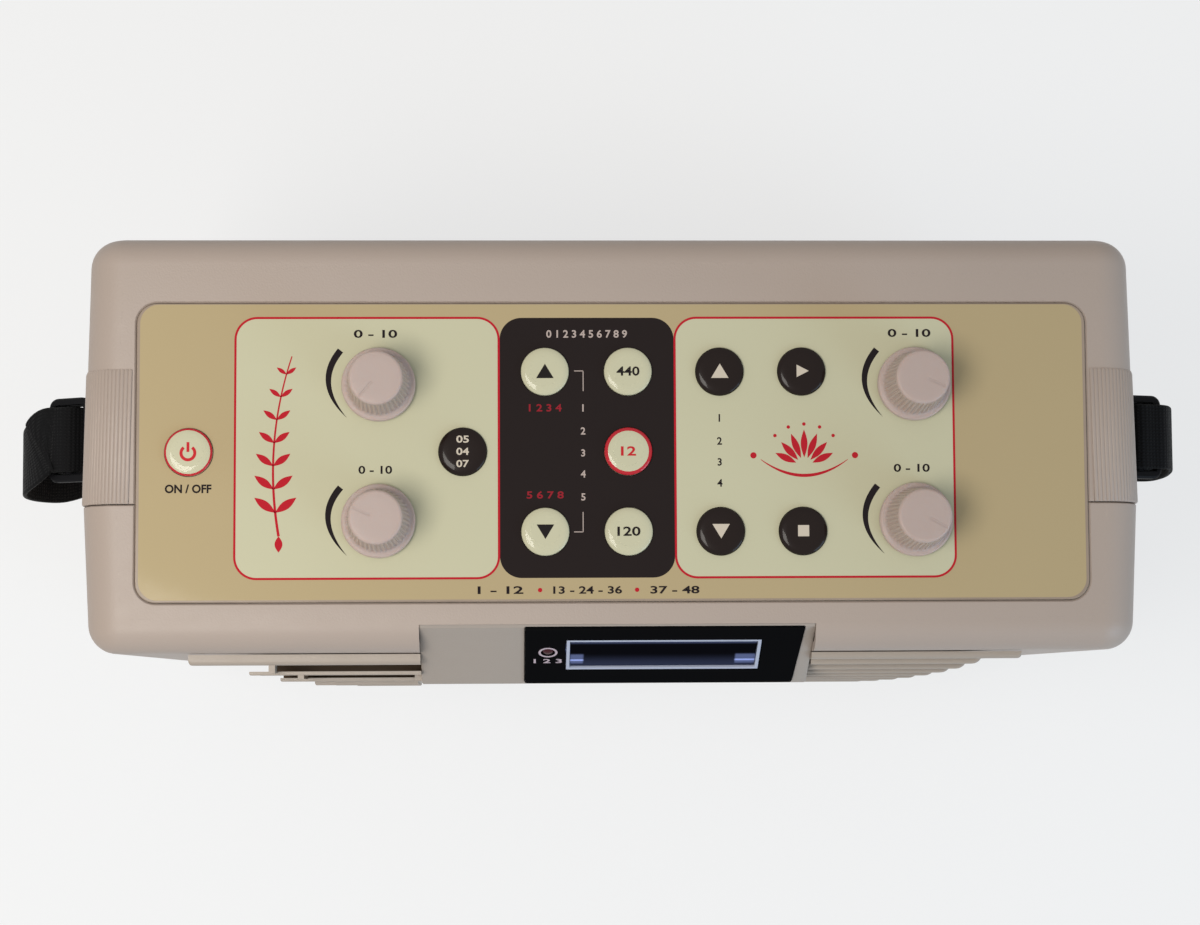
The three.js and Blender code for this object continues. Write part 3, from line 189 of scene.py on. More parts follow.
def moulded(name, colour, rough=0.5, drift=0.035, grain=0.12, grain_size=0.0006, coat=0.0,
            through=0.0, gloss=0.35):
    """A moulded plastic: its colour drifts a little over the length of a hand, its roughness
    over a few millimetres, and a fine noise gives the mould's grain as a bump."""
    material, nodes, links, shader = plain_material(name)
    place = nodes.new("ShaderNodeTexCoord")
    slow = set_inputs(nodes.new("ShaderNodeTexNoise"), Scale=14, Detail=3)
    middle = set_inputs(nodes.new("ShaderNodeTexNoise"), Scale=160)
    fine = set_inputs(nodes.new("ShaderNodeTexNoise"), Scale=1 / grain_size, Detail=2)
    for noise in (slow, middle, fine):
        links.new(place.outputs["Object"], noise.inputs["Vector"])
    darker, lighter = (tuple(min(c * share, 1) for c in colour[:3]) + (1,)
                       for share in (1 - drift, 1 + drift))
    two_tone(nodes, links, slow.outputs["Fac"], darker, lighter, shader.inputs["Base Color"])
    roughened(nodes, links, shader, middle.outputs["Fac"], max(rough - 0.07, 0.02), rough + 0.07)
    bumped(nodes, links, shader, fine.outputs["Fac"], grain, grain_size / 3)
    set_inputs(shader, Specular_IOR_Level=gloss, Coat_Weight=coat, Coat_Roughness=0.06,
               Subsurface_Weight=through)
    if through:
        set_inputs(shader, Subsurface_Radius=(0.003, 0.002, 0.0015), Subsurface_Scale=1.0)
    return material


def rounded(width, depth, radius, middle=(0.0, 0.0), steps=12):
    """The outline of a rectangle with round corners: four quarter circles joined by lines."""
    turn = np.linspace(0, np.pi / 2, steps + 1)
    corners = [(1, -1, -np.pi / 2), (1, 1, 0), (-1, 1, np.pi / 2), (-1, -1, np.pi)]
    loop = [np.stack([a * (width / 2 - radius) + radius * np.cos(turn + start),
                      b * (depth / 2 - radius) + radius * np.sin(turn + start)], 1)
            for a, b, start in corners]
    return np.concatenate(loop) + np.array(middle)


def skin(rings, closed=False):
    """A closed surface over rings with equally many points: four-sided faces between each
    ring and the next, and a flat face on the first and the last, or a ring joined to itself."""
    rings = np.asarray(rings, float)
    count, around = rings.shape[:2]
    step = np.arange(around)
    following = (step + 1) % around
    last = count if closed else count - 1
    faces = [np.stack([k * around + step, k * around + following,
                       (k + 1) % count * around + following, (k + 1) % count * around + step], 1)
             for k in range(last)]
    faces = np.concatenate(faces).tolist()
    if not closed:
        faces += [step[::-1].tolist(), ((count - 1) * around + step).tolist()]
    return rings.reshape(-1, 3), faces


def along(axis, outline, spans):
    """Rings of one outline, or of one per place, at several places along an axis."""
    outlines = [outline] * len(spans) if np.ndim(outline[0][0]) == 0 else outline
    order = {"x": (2, 0, 1), "y": (0, 2, 1), "z": (0, 1, 2)}[axis]
    flat = [np.column_stack([loop, np.full(len(loop), place)])
            for loop, place in zip(outlines, spans)]
    return np.stack([ring[:, order] for ring in flat])


def block(x, y, z):
    """A box between two places on each axis, as a cutter or a plain hidden rib."""
    outline = np.array([(x[0], y[0]), (x[1], y[0]), (x[1], y[1]), (x[0], y[1])], float)
    return skin(along("z", outline, z))


def circle(radius, middle=(0.0, 0.0), sides=40):
    """The outline of a circle, or of any even polygon of that many sides."""
    turn = np.arange(sides) / sides * 2 * np.pi
    return np.stack([radius * np.cos(turn), radius * np.sin(turn)], 1) + np.array(middle)


def rod(axis, radius, middle, span, sides=40):
    """A straight round bar along an axis."""
    return skin(along(axis, circle(radius, middle, sides), span))


def merged(*solids):
    """Several solids as one list of points and one of faces."""
    points, faces, start = [], [], 0
    for some_points, some_faces in solids:
        points.append(np.asarray(some_points))
        faces += [[start + corner for corner in face] for face in some_faces]
        start += len(some_points)
    return np.concatenate(points), faces


def points_of(mesh):
    """The places of a mesh's points, one row for each."""
    points = np.empty(len(mesh.vertices) * 3)
    mesh.vertices.foreach_get("co", points)
    return points.reshape(-1, 3)


def solid_of(mesh):
    """A mesh's points and faces. The mesh itself goes."""
    points, faces = points_of(mesh), [list(face.vertices) for face in mesh.polygons]
    bpy.data.meshes.remove(mesh)
    return points, faces


def worked_out(one):
    """The points and faces of an object with its cuts made or its text filled."""
    bpy.context.view_layer.update()
    graph = bpy.context.evaluated_depsgraph_get()
    return solid_of(bpy.data.meshes.new_from_object(one.evaluated_get(graph)))


def tidied(points, faces):
    """A mesh of the points and faces, with doubles merged and its faces turned outwards."""
    mesh = bpy.data.meshes.new("piece")
    mesh.from_pydata(np.asarray(points).tolist(), [], faces)
    form = bmesh.new()
    form.from_mesh(mesh)
    bmesh.ops.remove_doubles(form, verts=form.verts, dist=1e-4)
    bmesh.ops.recalc_face_normals(form, faces=form.faces)
    form.to_mesh(mesh)
    form.free()
    return mesh


def carved(base, add=(), cut=()):
    """The base solid with others joined on and then others cut out of it, in millimetres."""
    objects = []
    for points, faces in [base, *add, *cut]:
        one = bpy.data.objects.new("block", tidied(points, faces))
        bpy.context.scene.collection.objects.link(one)
        objects.append(one)
    for place, other in enumerate(objects[1:]):
        step = objects[0].modifiers.new("step", "BOOLEAN")
        step.operation = "UNION" if place < len(add) else "DIFFERENCE"
        step.solver = "EXACT"
        step.object = other
    solid = worked_out(objects[0])
    for one in objects:
        bpy.data.objects.remove(one)
    return solid


def piece(name, solid, material, body="casing", stands_for=(), slot=None, smooth=32, soften=0.0,
          paint=None):
    """A finished piece from a solid in millimetres: it is put behind the seam and into metres,
    given its material, smoothed up to an angle in degrees, and rides on its body. soften is
    the width of a rounded edge, and paint gives further materials and each face's choice."""
    mesh = tidied(*solid)
    points = (points_of(mesh) + (sideways, seam, 0)) * 0.001
    mesh.vertices.foreach_set("co", points.ravel())
    mesh.materials.append(material)
    if paint:
        for other in paint[0]:
            mesh.materials.append(other)
        centres = np.array([face.center for face in mesh.polygons])
        mesh.polygons.foreach_set("material_index", paint[1](centres * 1000 - (sideways, seam, 0)))
    mesh.polygons.foreach_set("use_smooth", np.ones(len(mesh.polygons), bool))
    mesh.update()
    mesh.set_sharp_from_angle(angle=np.radians(smooth))
    one = bpy.data.objects.new(name, mesh)
    mesh.name = name
    bpy.context.scene.collection.objects.link(one)
    if soften:
        edge = one.modifiers.new("edge", "BEVEL")
        edge.width = soften * 0.001
        edge.segments = 2
        edge.limit_method = "ANGLE"
        edge.angle_limit = np.radians(38)
        edge.use_clamp_overlap = False
        edge.harden_normals = False
    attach(one, body)
    if stands_for:
        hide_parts(*([stands_for] if isinstance(stands_for, str) else stands_for))
    return one


def shell_form(inset, to_rear, start):
    """Half of the housing's outer or inner form: a rounded rectangle carried from the seam to
    the end wall, drawn in by a quarter circle at the wall, its width narrowing evenly."""
    reach, narrowing = ((rear_depth, rear_narrowing) if to_rear else
                        (front_depth, front_narrowing))
    face = face_radius - inset
    turn = np.linspace(0, np.pi / 2, 11)
    depth = np.concatenate([start[0], np.linspace(start[0][-1], reach - inset - face, 5)[1:-1],
                            reach - inset - face + face * np.sin(turn)])
    draw = np.concatenate([start[1], np.zeros(3), face * (1 - np.cos(turn))])
    rings = []
    for far, inward in zip(depth, draw):
        loop = rounded(housing_width - 2 * (inset + inward),
                       housing_top - housing_bottom - 2 * (inset + inward),
                       edge_radius - inset - inward)
        loop[:, 0] *= 1 - 2 * narrowing * max(far, 0) / reach / housing_width
        loop[:, 1] += (housing_top + housing_bottom) / 2
        rings.append(along("y", loop, [far if to_rear else -far])[0])
    return skin(rings)


# Each key's place as a share of the panel's width, and the number of its row.
keys = {
    "power_key": (-0.4453, 1), "mode_key": (-0.1591, 1), "style_up_key": (-0.0727, 2),
    "style_down_key": (-0.0727, 0), "pitch_key": (0.0147, 2), "memory_key": (0.0147, 1),
    "tempo_key": (0.0147, 0), "rhythm_up_key": (0.1114, 2), "rhythm_down_key": (0.1114, 0),
    "start_key": (0.198, 2), "stop_key": (0.198, 0),
}
key_rows = (-8.15, 14.8, 37.75)
key_places = {name: (share * panel_width, key_rows[row]) for name, (share, row) in keys.items()}
# Each knob's place as a share of the panel's width, its row, and where its pointer stands in
# degrees, clockwise from the rear.
knobs = {
    "drone_volume": (-0.2471, 34.0, 220.7), "drone_tone": (-0.2471, -5.0, 292.8),
    "drum_volume": (0.3168, 34.0, 112.7), "drum_bass": (0.3168, -5.0, 118.4),
}
knob_places = {name: (share * panel_width, row) for name, (share, row, _) in knobs.items()}

screw_places = [(x, z) for z in (24.0, 189.7) for x in (-138.0, 138.0)]
foot_places = [(x, y) for y in (-26.0, 60.9) for x in (-128.0, 128.0)]
bezel_middle, bezel_half, notch_foot = 0.8, 56.3, 177.7
grille_top, blade_height, blade_pitch, blades = 197.5, 4.6, 7.6, 12
flank_width, wing_frame = 96.1, 3.0
opening_share, wing_share, wing_slope, wing_bend = 0.84, 0.562, 0.64, 0.27


def wing_reach(share):
    """How far a grille reaches from the bezel, at a share of the way down: a falling curve."""
    return wing_share * flank_width * (1 - wing_slope * share - wing_bend * share * share)


def wing(side, margin, end):
    """The grille's outline on the front wall, drawn in by a margin and ended at a share."""
    share = np.linspace(0, 1, 15)
    x = bezel_half + clearance - margin + wing_reach(share * end)
    z = grille_top - blade_height - margin - share * end * blades * blade_pitch
    edge = np.column_stack([x, z])
    inner = bezel_half + clearance + margin
    loop = np.concatenate([[(inner, z[0])], edge, [(inner, z[-1])]])
    return np.column_stack([bezel_middle + side * loop[:, 0], loop[:, 1]])


def recess_cutter():
    """The panel's recess, its upper edge broken by a small slope."""
    slope, slope_foot = 0.7, housing_top - 0.45
    size = np.array([panel_width + 2 * clearance, panel_depth + 2 * clearance])
    inner = rounded(*size, panel_corner + clearance, (0, panel_row))
    outer = rounded(*(size + 2 * slope), panel_corner + clearance + slope, (0, panel_row))
    return skin(along("z", [inner, inner, outer],
                      [recess_floor, slope_foot, slope_foot + slope]))


def holes_under_panel():
    """The round holes for the keys and the knobs' bushings in the recess's floor."""
    through = (floor_under - overrun, recess_floor + overrun)
    for places, radius in ((key_places, key_hole), (knob_places, bushing_hole)):
        for place in places.values():
            yield rod("z", radius, place, through)


def foot_holes():
    """The round holes for the feet's stems in the bottom wall."""
    for place in foot_places:
        yield rod("z", foot_hole, place,
                  (housing_bottom - overrun, housing_bottom + wall + overrun), 20)


def at_screws(radius, near, far, sides):
    """A round bar along each screw's axis, as a boss or as a cutter."""
    return [rod("y", radius, place, (near, far), sides) for place in screw_places]


def tray(near, far):
    """The plate under the recess in one half, from the seam to its end."""
    return block((-tray_reach, tray_reach), (near, far),
                 (floor_under, housing_top - wall + into_wall))


beige = moulded("casing_beige", srgb(165, 150, 139), rough=0.46, grain=0.35, grain_size=0.00055)
band_in, band_bottom, band_depth = housing_width / 2 - 14, housing_top - 37.7, 38.4
band_sunk = 1.25
anchor_row, anchor_level, anchor_face = 24.3, 150.0, housing_width / 2 + 1.6
anchor_deep, anchor_half_width, anchor_half_height = 9.5, 18.0, 15.0
socket_level, opening_half_width, opening_half_height = 27.0, 43.3, 13.3
tray_reach, tray_front, tray_rear = 141.3, 31.9, 61.5
into_wall, past_wall, broken_edge = 0.3, 0.5, 0.3
boss_radius, pilot_radius, pilot_depth = 5.5, 1.7, 12.5
sleeve_radius, sleeve_foot, screw_radius = 3.5, 10.0, 1.75
notch_back = 34.5

# The walls start at the seam with a broken edge, and the hollow starts beyond it.
outer_start = (np.array([half_gap, half_gap + broken_edge]), np.array([broken_edge, 0.0]))
inner_start = (np.array([-overrun - 1, -overrun]), np.zeros(2))
notch = block((bezel_middle - bezel_half - clearance, bezel_middle + bezel_half + clearance),
              (-front_depth - overrun, -notch_back), (notch_foot, housing_top + overrun))
openings = [skin(along("y", wing(side, wing_frame, opening_share),
                       (-front_depth - overrun, -front_depth + wall + past_wall)))
            for side in (1, -1)]
front = carved(shell_form(0, False, outer_start), cut=[shell_form(wall, False, inner_start)])
front = carved(
    front,
    add=[tray(-tray_front, -half_gap),
         *at_screws(boss_radius, 0.5 * wall - front_depth, -half_gap, 24)],
    cut=[recess_cutter(), notch, *openings, *at_screws(pilot_radius, -pilot_depth, overrun, 16),
         merged(*holes_under_panel()), merged(*foot_holes())])
piece("front_shell", front, beige, stands_for="front_shell", slot="casing")

both_sides = (("left", -1), ("right", 1))
band_arc = np.linspace(0, np.pi / 2, 13)


def band_line(lift, margin=0.0):
    """The bands' section line at a height off the housing: level, round the edge, and down."""
    radius = edge_radius + lift
    arc = np.column_stack([housing_width / 2 - edge_radius + radius * np.sin(band_arc),
                           housing_top - edge_radius + radius * np.cos(band_arc)])
    return np.concatenate([[(band_in - margin, housing_top + lift)], arc,
                           [(housing_width / 2 + lift, band_bottom - margin)]])


def grown(middle, half):
    """From one side of a place to the other, with a clearance at both."""
    return middle - half - clearance, middle + half + clearance


pockets, anchor_holes = [], []
for _, side in both_sides:
    outline = np.concatenate([band_line(-band_sunk - clearance, clearance),
                              band_line(overrun, clearance)[::-1]]) * (side, 1)
    pockets.append(skin(along("y", outline, (-overrun, band_depth + clearance))))
    inner, outer = anchor_face - anchor_deep - clearance, anchor_face + overrun
    anchor_holes.append(block(sorted((side * inner, side * outer)),
                              grown(anchor_row, anchor_half_width),
                              grown(anchor_level, anchor_half_height)))
socket_hole = block((-opening_half_width, opening_half_width),
                    (rear_depth - wall - past_wall, rear_depth + overrun),
                    (socket_level - opening_half_height, socket_level + opening_half_height))
rear = carved(shell_form(0, True, outer_start), cut=[shell_form(wall, True, inner_start)])
rear = carved(
    rear,
    add=[tray(half_gap, tray_rear),
         *at_screws(boss_radius, half_gap, rear_depth - 0.5 * wall, 24)],
    cut=[recess_cutter(), *pockets, *anchor_holes, socket_hole,
         *at_screws(sleeve_radius, sleeve_foot, rear_depth + overrun, 24),
         *at_screws(screw_radius, -overrun, sleeve_foot + 2, 16),
         merged(*holes_under_panel()), merged(*foot_holes())])
piece("rear_shell", rear, beige, stands_for="rear_shell", slot="casing")

# Control panel: a clear acrylic plate laid into the recess, printed on its back in tan, cream
# and dark brown. Here the print lies on the plate, a few hundredths of a millimetre thick,
# under a clear gloss.
plate_middle = (0.0, panel_row)
key_opening, knob_opening = 7.0, 7.3


def slab(loops, low, high):
    """A flat plate between two heights: its outline and its holes are closed loops in the
    plane, the faces fill between them, and a wall stands on each loop."""
    loops = [np.asarray(loop, float) for loop in loops]
    flat = np.concatenate(loops)
    fill = [tuple(t) for t in tessellate_polygon(
        [[Vector((*p, 0.0)) for p in loop] for loop in loops])]
    count = len(flat)
    points = np.concatenate([np.column_stack([flat, np.full(count, z)]) for z in (low, high)])
    faces = [list(t) for t in fill] + [[c + count for c in t[::-1]] for t in fill]
    begin = 0
    for loop in loops:
        step = np.arange(len(loop))
        following = (step + 1) % len(loop)
        faces += np.stack([begin + step, begin + following, begin + following + count,
                           begin + step + count], 1).tolist()
        begin += len(loop)
    return points, faces


def panel_holes(grow=0.0, within=None):
    """The holes for the keys and the knobs, where an outline holds them."""
    for places, radius in ((key_places, key_opening), (knob_places, knob_opening)):
        for x, y in places.values():
            if within is None or (within[0] < x < within[1] and within[2] < y < within[3]):
                yield circle(radius + grow, (x, y), 56)


acrylic, nodes, links, shader = plain_material("panel_acrylic")
place = nodes.new("ShaderNodeTexCoord")
cloud = set_inputs(nodes.new("ShaderNodeTexNoise"), Scale=60)
links.new(place.outputs["Object"], cloud.inputs["Vector"])
two_tone(nodes, links, cloud.outputs["Fac"], srgb(139, 123, 109), srgb(160, 143, 127),
         shader.inputs["Base Color"])
set_inputs(shader, Roughness=0.2, Specular_IOR_Level=0.2)
past_frame, eased, eased_in = 0.24, 0.35, 0.3
outer = rounded(panel_width + past_frame, panel_depth + past_frame, panel_corner, plate_middle)
inner = rounded(panel_width - eased_in, panel_depth - eased_in, panel_corner - 0.2, plate_middle)
plate = skin(along("z", [outer, outer, inner], [
    recess_floor + clearance, panel_top - eased, panel_top]))
through = (recess_floor - overrun, panel_top + overrun)
holes = merged(*(skin(along("z", loop, through)) for loop in panel_holes()))
piece("control_panel", carved(plate, cut=[holes]), acrylic, stands_for="control_panel",
      slot="panel")

# How far each layer of the print stands over the plate, and how far all of it reaches in.
print_levels = {"tan": 0.015, "zone": 0.035, "mark": 0.06}
print_foot = 0.03


def printed(name, colour, solids, drift=0.02):
    """One colour of the print: thin closed patches under a clear gloss."""
    ink = moulded(name + "_ink", colour, rough=0.35, drift=drift, grain=0.02, coat=0.15,
                  gloss=0.0)
    return piece(name, merged(*solids), ink, slot="panel", smooth=20)


def patch(loops, level):
    """A thin closed patch of one layer, from just inside the plate to the layer's level."""
    return slab(loops, panel_top - print_foot, panel_top + print_levels[level])


zone_top, zone_low = panel_row + 38.55, panel_row - 36.1
zone_row, zone_tall = (zone_top + zone_low) / 2, zone_top - zone_low
left_zone = (-108.1, -33.0)
dark_zone = (-33.0, 17.5)
right_zone = (17.5, 97.7)
line = 0.62
zone_corner = 6.2


def zone(span, inset=0.0):
    """A zone's outline with its round corners, drawn in by an inset."""
    return rounded(span[1] - span[0] - 2 * inset, zone_tall - 2 * inset, zone_corner - inset,
                   ((span[0] + span[1]) / 2, zone_row))


def holes_within(span):
    """The holes that lie in a zone."""
    return panel_holes(0.0, (*span, zone_low, zone_top))


tan_outline = rounded(panel_width - 1.7, panel_depth - 0.85, panel_corner - 0.4,
                      (0.0, panel_row + 0.15))
printed("tan_print", srgb(174, 156, 120),
        [patch([tan_outline, *panel_holes(0.05)], "tan")], 0.03)
printed("cream_print", srgb(190, 186, 157), [
    patch([zone(left_zone, line / 2), *holes_within(left_zone)], "zone"),
    patch([zone(right_zone, line / 2), *holes_within(right_zone)], "zone")])
overlap = 0.02
dark = (dark_zone[0] + line / 2 - overlap, dark_zone[1] - line / 2 + overlap)
printed("dark_print", srgb(36, 29, 28), [patch([zone(dark), *holes_within(dark)], "zone")], 0.05)


def strip(points, widths):
    """A stroke: a line of points with a width at each, closed round its two ends."""
    points, widths = np.asarray(points, float), np.asarray(widths, float)
    way = np.gradient(points, axis=0)
    way /= np.linalg.norm(way, axis=1, keepdims=True)
    off = np.column_stack([-way[:, 1], way[:, 0]]) * widths[:, None] / 2
    return np.concatenate([points + off, (points - off)[::-1]])


def bow(first, middle, last, count=24):
    """Points on the parabola through three points."""
    t = np.linspace(0, 1, count)[:, None]
    first, middle, last = (np.array(p, float) for p in (first, middle, last))
    return (first * (1 - t) * (1 - 2 * t) + 4 * middle * t * (1 - t) + last * t * (2 * t - 1))


def leaf(root, tip, width, count=16):
    """A pointed leaf between two points: its width follows a half sine wave."""
    t = np.linspace(0, 1, count)
    root, tip = np.array(root, float), np.array(tip, float)
    return strip(root + (tip - root) * t[:, None], width * np.sin(np.pi * t) + 0.02)


def mark(*loops):
    """A printed mark inside its outline, with a hole for each further one."""
    return patch(loops, "mark")


red_marks = [mark(zone(span, -line / 2), zone(span, line / 2))
             for span in (left_zone, right_zone)]

# A climbing stem of paired leaves on the left, graded in size.
stem = bow((-92.0, panel_row + 27.5), (-97.0, panel_row + 2), (-95.6, panel_row - 24.0), 40)
red_marks.append(mark(strip(stem, np.linspace(0.35, 0.75, 40))))
smallest_leaf, leaf_step = 3.2, 0.62
for number in range(7):
    size = smallest_leaf + leaf_step * number
    root = stem[4 + 5 * number]
    for hand in (-1, 1):
        tip = root + np.array((hand * size * 0.86, size * 0.62))
        red_marks.append(mark(leaf(root, tip, size * 0.34)))
red_marks.append(mark(leaf(stem[-1], stem[-1] + (0.0, -4.6), 2.2)))

# A fan of seven petals on the right, with an arc of dots over it and a bow under it.
fan = np.array((54.5, panel_row - 4.4))
for number, angle in enumerate(np.radians(np.linspace(155, 25, 7))):
    way = np.array((np.cos(angle), np.sin(angle)))
    tip = fan + (10.6 - 0.5 * abs(number - 3)) * way
    red_marks.append(mark(leaf(fan + 2.6 * way, tip, 1.9)))
    if number not in (0, 6):
        red_marks.append(mark(circle(0.5, fan + 12.2 * way, 20)))
cradle = bow(fan + (-12.5, 2.0), fan + (0, -2.6), fan + (12.5, 2.0))
red_marks.append(mark(strip(cradle, 0.15 + 0.75 * np.sin(np.linspace(0, np.pi, 24)))))
for x in (-14.6, 14.6):
    red_marks.append(mark(circle(0.9, fan + (x, 3.2), 24)))
for x in (-21.34, 6.29):
    red_marks.append(mark(circle(0.62, (x, panel_row - 39.55), 24)))


def numerals(text, tall, middle, low, high, wide=None, weight=0.03):
    """Figures as closed flat letters of a height, set in a line about a middle."""
    words = bpy.data.curves.new("figures", "FONT")
    words.body = text
    words.size = tall * 1.4
    words.resolution_u = 3
    words.extrude = 0.5
    words.offset = weight * tall
    holder = bpy.data.objects.new("figures", words)
    bpy.context.scene.collection.objects.link(holder)
    points, faces = worked_out(holder)
    bpy.data.objects.remove(holder)
    lowest, highest = points.min(0), points.max(0)
    points[:, :2] -= (lowest[:2] + highest[:2]) / 2
    points[:, :2] *= tall / (highest[1] - lowest[1])
    if wide:
        points[:, 0] *= wide / (points[:, 0].max() - points[:, 0].min())
    points[:, 2] = np.where(points[:, 2] > 0, high, low)
    points[:, :2] += middle
    return points, faces


def figures(text, tall, middle, wide=None, weight=0.03):
    """Printed figures, set about a place that is counted from the middle of the panel."""
    return numerals(text, tall, (middle[0], middle[1] + panel_row), panel_top - print_foot,
                    panel_top + print_levels["mark"], wide, weight)


printed("red_print", srgb(178, 31, 43), red_marks)
printed("dim_red_print", srgb(142, 34, 44), [figures("1 2 3 4", 2.15, (-19.7, 12.6), 9.4),
                                             figures("5 6 7 8", 2.15, (-19.8, -12.4), 10.6)])

black_marks = [figures("0 - 10", 2.35, (-68.2, 33.95), 12.4),
               figures("0 - 10", 2.35, (-68.2, -5.1), 9.6),
               figures("0 - 10", 2.35, (85.2, 34.1), 12.4),
               figures("0 - 10", 2.35, (85.4, -4.9), 10.4),
               figures("ON / OFF", 2.5, (-121.28, -10.4), 13.2, 0.042),
               figures("1 - 12", 2.2, (-32.6, -39.5), 13.0),
               figures("13 - 24 - 36", 2.2, (-7.8, -39.55), 19.6),
               figures("37 - 48", 2.2, (17.1, -39.6), 14.0)]
for text, y in zip("1234", (9.6, 2.97, -3.06, -9.09)):
    black_marks.append(figures(text, 2.2, (30.2, y)))
# A crescent beside each knob: three points of its middle line, and a width that runs out.
crescents = (((-78.87, 29.63), (-82.27, 20.14), (-77.11, 10.37)),
             ((-78.76, -9.66), (-82.28, -19.07), (-77.0, -29.05)),
             ((75.04, 29.77), (71.44, 20.21), (76.5, 10.38)),
             ((74.78, -9.5), (71.2, -19.25), (76.53, -29.02)))
crescent_width, crescent_shift = 1.85, (0.7, panel_row - 0.45)
t = np.linspace(0, 1, 30)
for points in crescents:
    curve = bow(*(np.array(point) + crescent_shift for point in points), 30)
    black_marks.append(mark(strip(curve, crescent_width * (1 - t ** 2.2) + 0.03)))
printed("black_print", srgb(34, 28, 30), black_marks)

pale_marks = [figures("0 1 2 3 4 5 6 7 8 9", 2.3, (-7.75, 33.9), 23.2)]
for text, y in zip("12345", (12.55, 5.93, -0.39, -6.41, -13.0)):
    pale_marks.append(figures(text, 2.1, (-8.9, y)))
# Two thin lines with a corner, above and below the column of figures.
fine_line = 0.25
for points in (((-11.4, 23.2), (-8.82, 23.2), (-8.82, 17.4)),
               ((-11.6, -23.0), (-9.0, -23.0), (-9.0, -17.3))):
    points = np.array(points) + (0, panel_row)
    for ends in (points[:2], points[1:]):
        pale_marks.append(mark(strip(ends, [fine_line, fine_line])))
printed("pale_print", srgb(176, 160, 152), pale_marks)

# Keys: domed caps cast in clear resin over a cream or a dark brown disc, on a plunger with a
# flange that keeps them under the panel. Each one goes straight down onto its switch.
key_radius, key_rim, key_dome, dome_power = 6.85, 0.9, 0.8, 7
plunger_radius, flange_radius, flange_thick, rim_round = 2.0, 8.0, 1.2, 0.5
flange_top = floor_under - clearance - panel_top
plunger_foot = 1000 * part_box("power_key")[0].z - panel_top


def dome(radius):
    """The cap's height over the panel's face: nearly flat, then falling fast to the rim."""
    share = np.clip(np.asarray(radius) / key_radius, 0, 1)
    return key_rim + key_dome * (1 - share ** dome_power)


def key_profile(ring=None):
    """The cap's radius and height: plunger, flange, wall, a round rim, and the dome, with one
    more point where a painted ring begins."""
    turn = np.linspace(0, np.radians(57), 6)
    stop = key_radius - rim_round * (1 - np.cos(turn[-1]))
    across = stop * np.linspace(0.01, 1, 18) ** 0.6
    across = sorted(set(np.round(np.append(across, [] if ring is None else ring), 4)))
    under = [(plunger_radius, plunger_foot), (flange_radius, flange_top - flange_thick),
             (flange_radius, flange_top), (key_radius, flange_top)]
    rim = [(key_radius - rim_round + rim_round * np.cos(a),
            dome(stop) + rim_round * (np.sin(a) - np.sin(turn[-1]))) for a in turn[:-1]]
    return under + rim + [(radius, float(dome(radius))) for radius in across[::-1]]


def turned(profile, axis, place, sides=64):
    """A body of revolution about an axis: a circle for each radius and height of the profile."""
    return skin(np.stack([along(axis, circle(radius, place, sides), [height])[0]
                          for radius, height in profile]))


def cast(name, colour, coat, grain=0.02, drift=0.02):
    """Resin, or ink under resin: smooth, with a clear coat of some strength."""
    return moulded(name, colour, rough=0.3, drift=drift, grain=grain, coat=coat, gloss=0.05)


cream_cap = cast("key_cream", srgb(190, 186, 157), 0.35, 0.0)
dark_cap = cast("key_dark", srgb(30, 21, 18), 0.2, 0.0, 0.05)
red_ring = cast("key_red", srgb(180, 30, 42), 0.5)
mark_red = cast("mark_red", srgb(186, 30, 38), 0.25, 0.0)
mark_dark = cast("mark_dark", srgb(22, 16, 15), 0.25)
mark_pale = cast("mark_pale", srgb(196, 184, 166), 0.5)


def polygon_mark(points):
    """A flat solid with straight sides, to be laid on a dome."""
    return slab([np.asarray(points, float)], -1, 1)


def figure_mark(text, wide, tall=2.7, y=0.0):
    """Figures as a flat solid of a width and a height, to be laid on a dome."""
    return numerals(text, tall, (0, y), -1, 1, wide)


def power_sign():
    """The usual sign for power: an open ring, and a short bar in its gap."""
    radius, below, stroke = 1.95, 0.3, 0.86
    turn = np.radians(np.linspace(128, 412, 40))
    ring = np.column_stack([radius * np.cos(turn), radius * np.sin(turn) - below])
    return [slab([strip(ring, np.full(len(ring), stroke))], -1, 1),
            polygon_mark([(-0.4, 0.0), (0.4, 0.0), (0.4, 2.8), (-0.4, 2.8)])]


up = [polygon_mark([(-2.5, -2.0), (2.5, -2.0), (0, 2.15)])]
down = [polygon_mark([(-2.5, 2.0), (0, -2.15), (2.5, 2.0)])]
key_marks = {
    "power_key": power_sign(), "style_up_key": up, "style_down_key": down,
    "rhythm_up_key": up, "rhythm_down_key": down,
    "start_key": [polygon_mark([(-1.5, -1.8), (2.0, 0), (-1.5, 1.8)])],
    "stop_key": [polygon_mark([(-1.6, -1.6), (1.6, -1.6), (1.6, 1.6), (-1.6, 1.6)])],
    "pitch_key": [figure_mark("440", 6.6)],
    "tempo_key": [figure_mark("120", 6.6)],
    "memory_key": [figure_mark("12", 4.3)],
    "mode_key": [figure_mark(text, 3.6, 2.1, y)
                 for text, y in (("05", 3.5), ("04", 0.0), ("07", -3.5))],
}


